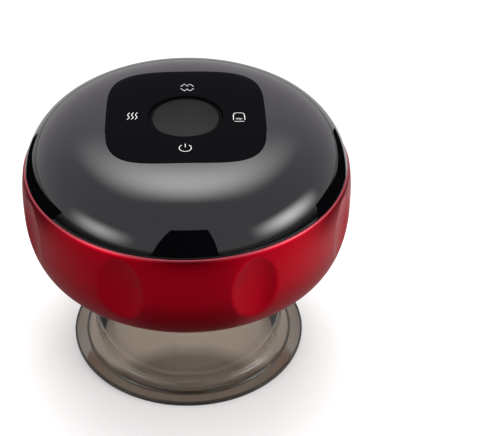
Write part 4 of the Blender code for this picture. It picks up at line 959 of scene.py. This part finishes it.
print_lift, print_flatness = 0.00001, 0.12
print_white = moulded("printed_white", (0.82, 0.82, 0.82), 0.5, drift=0.05, handling=0.05)
ring = arc(0, 0, 1.65, 128, 412, 24)
printed_symbol("symbol_power", (-0.0002, -0.0170), [ring, [(0, 0.3), (0, 2.0)]])
waves = [
    [(x + 0.24 * math.cos(math.pi * 3 * k / 16), 1.8 - 3.6 * k / 16) for k in range(17)]
    for x in (-1.1, 0, 1.1)
]
printed_symbol("symbol_heat", (-0.0150, -0.0007), waves)
peaks = [(-1.85, 0.6), (-0.75, 1.95), (0, 0.75), (0.75, 1.95), (1.85, 0.6)]
printed_symbol("symbol_suction", (0.0006, 0.0142), [peaks, [(x, -y) for x, y in peaks]])
box = [(-1.6, -1.5), *arc(-0.45, 1.1, 1.1, 180, 90), *arc(0.45, 1.1, 1.1, 90, 0), (1.6, -1.5)]
base_line = [(-1.35, -2.2), (1.35, -2.2)]
rays = [[(x * 0.6, -1.25), (x, -0.35 - 0.3 * abs(x))] for x in (-0.9, -0.45, 0, 0.45, 0.9)]
printed_symbol("symbol_mode", (0.0150, -0.0020), [box, base_line])
printed_symbol("symbol_mode_rays", (0.0150, -0.0020), rays, 0.00013)


# ---- Studio ----
# A pale floor in a plain studio: one soft light over the back, and two low ones at the
# front's sides. The cup stands on the floor, so the floor sinks with the cup where the cup
# comes off. The camera looks down on the front, as in the photograph.
floor_radius = 6.0
floor_mesh = bmesh.new()
bmesh.ops.create_circle(floor_mesh, cap_ends=True, segments=128, radius=floor_radius)
floor = new_object("floor", floor_mesh)
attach(floor, "cup")


def seen_directly(tree):
    """1 for rays from the camera, and for mirrored and refracted ones."""
    out = tree.nodes.new("ShaderNodeLightPath").outputs
    straight = maths(tree, "MAXIMUM", out["Is Camera Ray"], out["Is Glossy Ray"])
    return maths(tree, "MAXIMUM", straight, out["Is Transmission Ray"])


def surface_from(tree, kind, *values):
    """Makes a material's surface of a node that mixes or adds shaders."""
    node = tree.nodes.new(kind)
    for target, value in zip(node.inputs, values):
        feed(tree, target, value)
    feed_all(tree, tree.nodes["Material Output"], Surface=node.outputs[0])


floor_paint, tree, shader = principled(
    "studio_floor", Base_Color=(0.93, 0.93, 0.93, 1), Roughness=0.9, Specular_IOR_Level=0.0,
    Emission_Color=(1, 1, 1, 1),
)
how_far = vector_maths(tree, "LENGTH", object_coordinates(tree))
whiter = stretched(tree, how_far, 0.35, 1.5, 0.06, 0.2)
whitening = maths(tree, "MULTIPLY", seen_directly(tree), whiter)
feed_all(tree, shader, Emission_Strength=whitening)
underside = tree.nodes.new("ShaderNodeNewGeometry").outputs["Backfacing"]
clear = tree.nodes.new("ShaderNodeBsdfTransparent").outputs[0]
surface_from(tree, "ShaderNodeMixShader", underside, shader.outputs[0], clear)
floor.data.materials.append(floor_paint)

world = bpy.data.worlds.new("studio")
bpy.context.scene.world = world
world.use_nodes = True
tree = world.node_tree
backdrop = tree.nodes["Background"]
in_gloss = tree.nodes.new("ShaderNodeLightPath").outputs["Is Glossy Ray"]
tint = mixed(tree, in_gloss, (1, 1, 1, 1), (1.0, 0.955, 1.02, 1))
room_light = 0.9
strength = maths(tree, "MULTIPLY_ADD", seen_directly(tree), 1.0 - room_light, room_light)
feed_all(tree, backdrop, Color=tint, Strength=strength)

aim = Vector((0, 0, 0.055))
matt_share = 0.25


def softbox(name, azimuth, elevation, distance, width, height, strength):
    """A glowing panel that fades to its edges. Azimuth 0 is behind the object, 90 at its right."""
    bm = bmesh.new()
    bmesh.ops.create_grid(bm, x_segments=1, y_segments=1, size=0.5)
    panel = new_object(name, bm)
    a, e = math.radians(azimuth), math.radians(elevation)
    towards = Vector((math.sin(a) * math.cos(e), math.cos(a) * math.cos(e), math.sin(e)))
    turn = towards.to_track_quat("Z", "Y").to_matrix().to_4x4()
    place = Matrix.Translation(aim + towards * distance)
    panel.matrix_world = place @ turn @ Matrix.Diagonal((width, height, 1, 1))
    glow, tree, _ = principled(name)
    tree.nodes.clear()
    tree.nodes.new("ShaderNodeOutputMaterial")
    light = tree.nodes.new("ShaderNodeEmission")
    spot = place_xyz(tree)
    across, along = (
        stretched(tree, maths(tree, "ABSOLUTE", spot[axis]), 0.5, 0.0, ease="SMOOTHSTEP")
        for axis in "XY"
    )
    mask = maths(tree, "MULTIPLY", across, along)
    on_matt = tree.nodes.new("ShaderNodeLightPath").outputs["Is Diffuse Ray"]
    full = maths(tree, "MULTIPLY_ADD", on_matt, (matt_share - 1) * strength, strength)
    feed_all(tree, light, Strength=maths(tree, "MULTIPLY", mask, full))
    clear = tree.nodes.new("ShaderNodeBsdfTransparent").outputs[0]
    surface_from(tree, "ShaderNodeAddShader", clear, light.outputs[0])
    panel.data.materials.append(glow)
    panel.visible_camera = panel.visible_shadow = False


softbox("light_over_back", 0, 66, 0.75, 0.95, 0.88, 6.6)
softbox("light_left", -122, 9, 0.7, 0.70, 0.36, 6.0)
softbox("light_right", 111, 13, 0.7, 0.80, 0.40, 10.0)


# The gloss also mirrors unlit parts of the studio. Dark cards stand where it would see them.
def dark_card(name, bm, cover=1.0):
    """A dark card that is only seen in the object's gloss. Cover is how much it hides."""
    near_black = (0.002, 0.002, 0.002, 1)
    paint, _, _ = principled(name, Base_Color=near_black, Specular_IOR_Level=0.0, Alpha=cover)
    card = new_object(name, bm)
    card.data.materials.append(paint)
    card.visible_camera = card.visible_shadow = False
    card.visible_diffuse = card.visible_transmission = False
    return card


def fading_cover(card, centre, dark, clear, cover=1.0):
    """Fades a card out, from its cover at one distance from a point to nothing at another."""
    tree = card.data.materials[0].node_tree
    reach = vector_maths(tree, "DISTANCE", object_coordinates(tree), centre)
    fade = stretched(tree, reach, clear, dark, 0.0, cover)
    feed_all(tree, tree.nodes["Principled BSDF"], Alpha=fade)


def floor_card(name, inner, outer, start_azimuth, end_azimuth, cover=1.0):
    """A flat card just over the floor, in a part ring about the object. Azimuth 0 is +X."""
    bm = bmesh.new()
    edge = bm.edges.new([bm.verts.new((radius, 0, card_height)) for radius in (inner, outer)])
    bmesh.ops.spin(
        bm, geom=[*edge.verts, edge], cent=(0, 0, 0), axis=(0, 0, 1), dvec=(0, 0, 0),
        angle=math.radians(end_azimuth - start_azimuth), steps=48, use_merge=False,
    )
    return dark_card(name, turned_by(bm, start_azimuth), cover)


def cornered_card(name, *corners, height=0.0):
    """A card through its corners. A corner without a height of its own takes the one given."""
    bm = bmesh.new()
    bm.faces.new([bm.verts.new((*corner, height)[:3]) for corner in corners])
    dark_card(name, bm)


card_height, foot_inner, foot_outer, near_outer, far_outer = 0.002, 0.037, 0.09, 0.25, 2.0
for side, first, last, foot_cover, near_cover in (
    ("left", 125, 240, 0.8, 0.72), ("front", 240, 300, 0.88, 0.68), ("right", 300, 406, 0.7, 0.42),
):
    floor_card(f"foot_card_{side}", foot_inner, foot_outer, first, last, foot_cover)
    floor_card(f"near_card_{side}", foot_outer, near_outer, first, last, near_cover)
floor_card("near_card_back", foot_outer, near_outer, 46, 125, 0.5)
floor_card("far_card_back", near_outer, far_outer, 0, 181, 0.5)
far_card = floor_card("far_card_front", near_outer, far_outer, 181, 360)
fading_cover(far_card, (0, 0, card_height), near_outer, far_outer)
cornered_card(
    "side_card_left", (-0.12, 0), (-2.4, -0.1), (-2.4, 0.14), (-0.913, 0.214), (-0.225, 0.228),
    (-0.22, 0.31), (-0.105, 0.145), height=0.003,
)
cornered_card(
    "side_card_right", (0.12, -0.02), (2.4, 0.1), (2.4, 0.64), (0.49, 0.285), (0.45, 0.60),
    (0.13, 0.19), height=0.003,
)
cornered_card(
    "front_card", (-0.225, -0.565, 0.004), (0.190, -0.565, 0.004), (0.121, -0.470, 0.410),
    (-0.098, -0.470, 0.410),
)
cornered_card(
    "front_card_foot", (-0.1, -0.2), (0.085, -0.2), (0.19, -0.565), (-0.225, -0.565),
    height=0.0045,
)
shade_y, shade_height, shade_dark, shade_clear, shade_cover = -0.045, 0.0003, 0.030, 0.036, 0.55
shade = bmesh.new()
shade_place = Matrix.Translation((0, 0, shade_height))
bmesh.ops.create_circle(
    shade, cap_ends=True, segments=64, radius=mouth_radius, matrix=shade_place
)
shade = dark_card("shade_under_cup", shade)
shade.visible_glossy, shade.visible_transmission = False, True
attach(shade, "cup")
fading_cover(shade, (0, shade_y, shade_height), shade_dark, shade_clear, shade_cover)

camera_data = bpy.data.cameras.new("camera")
camera_data.sensor_width = 36.0
camera_data.lens = 92.14
camera_data.shift_x, camera_data.shift_y = 0.1249, 0.0631
camera_data.clip_start, camera_data.clip_end = 0.01, 10.0
camera = placed("camera", camera_data)
camera_place, camera_pitch, camera_roll = (0, -0.30607, 0.27496), 38.55, 0.85
camera.matrix_world = (
    Matrix.Translation(camera_place)
    @ Matrix.Rotation(math.radians(90 - camera_pitch), 4, "X")
    @ Matrix.Rotation(math.radians(-camera_roll), 4, "Z")
)
bpy.context.scene.camera = camera
bpy.context.scene.view_settings.view_transform = "Standard"
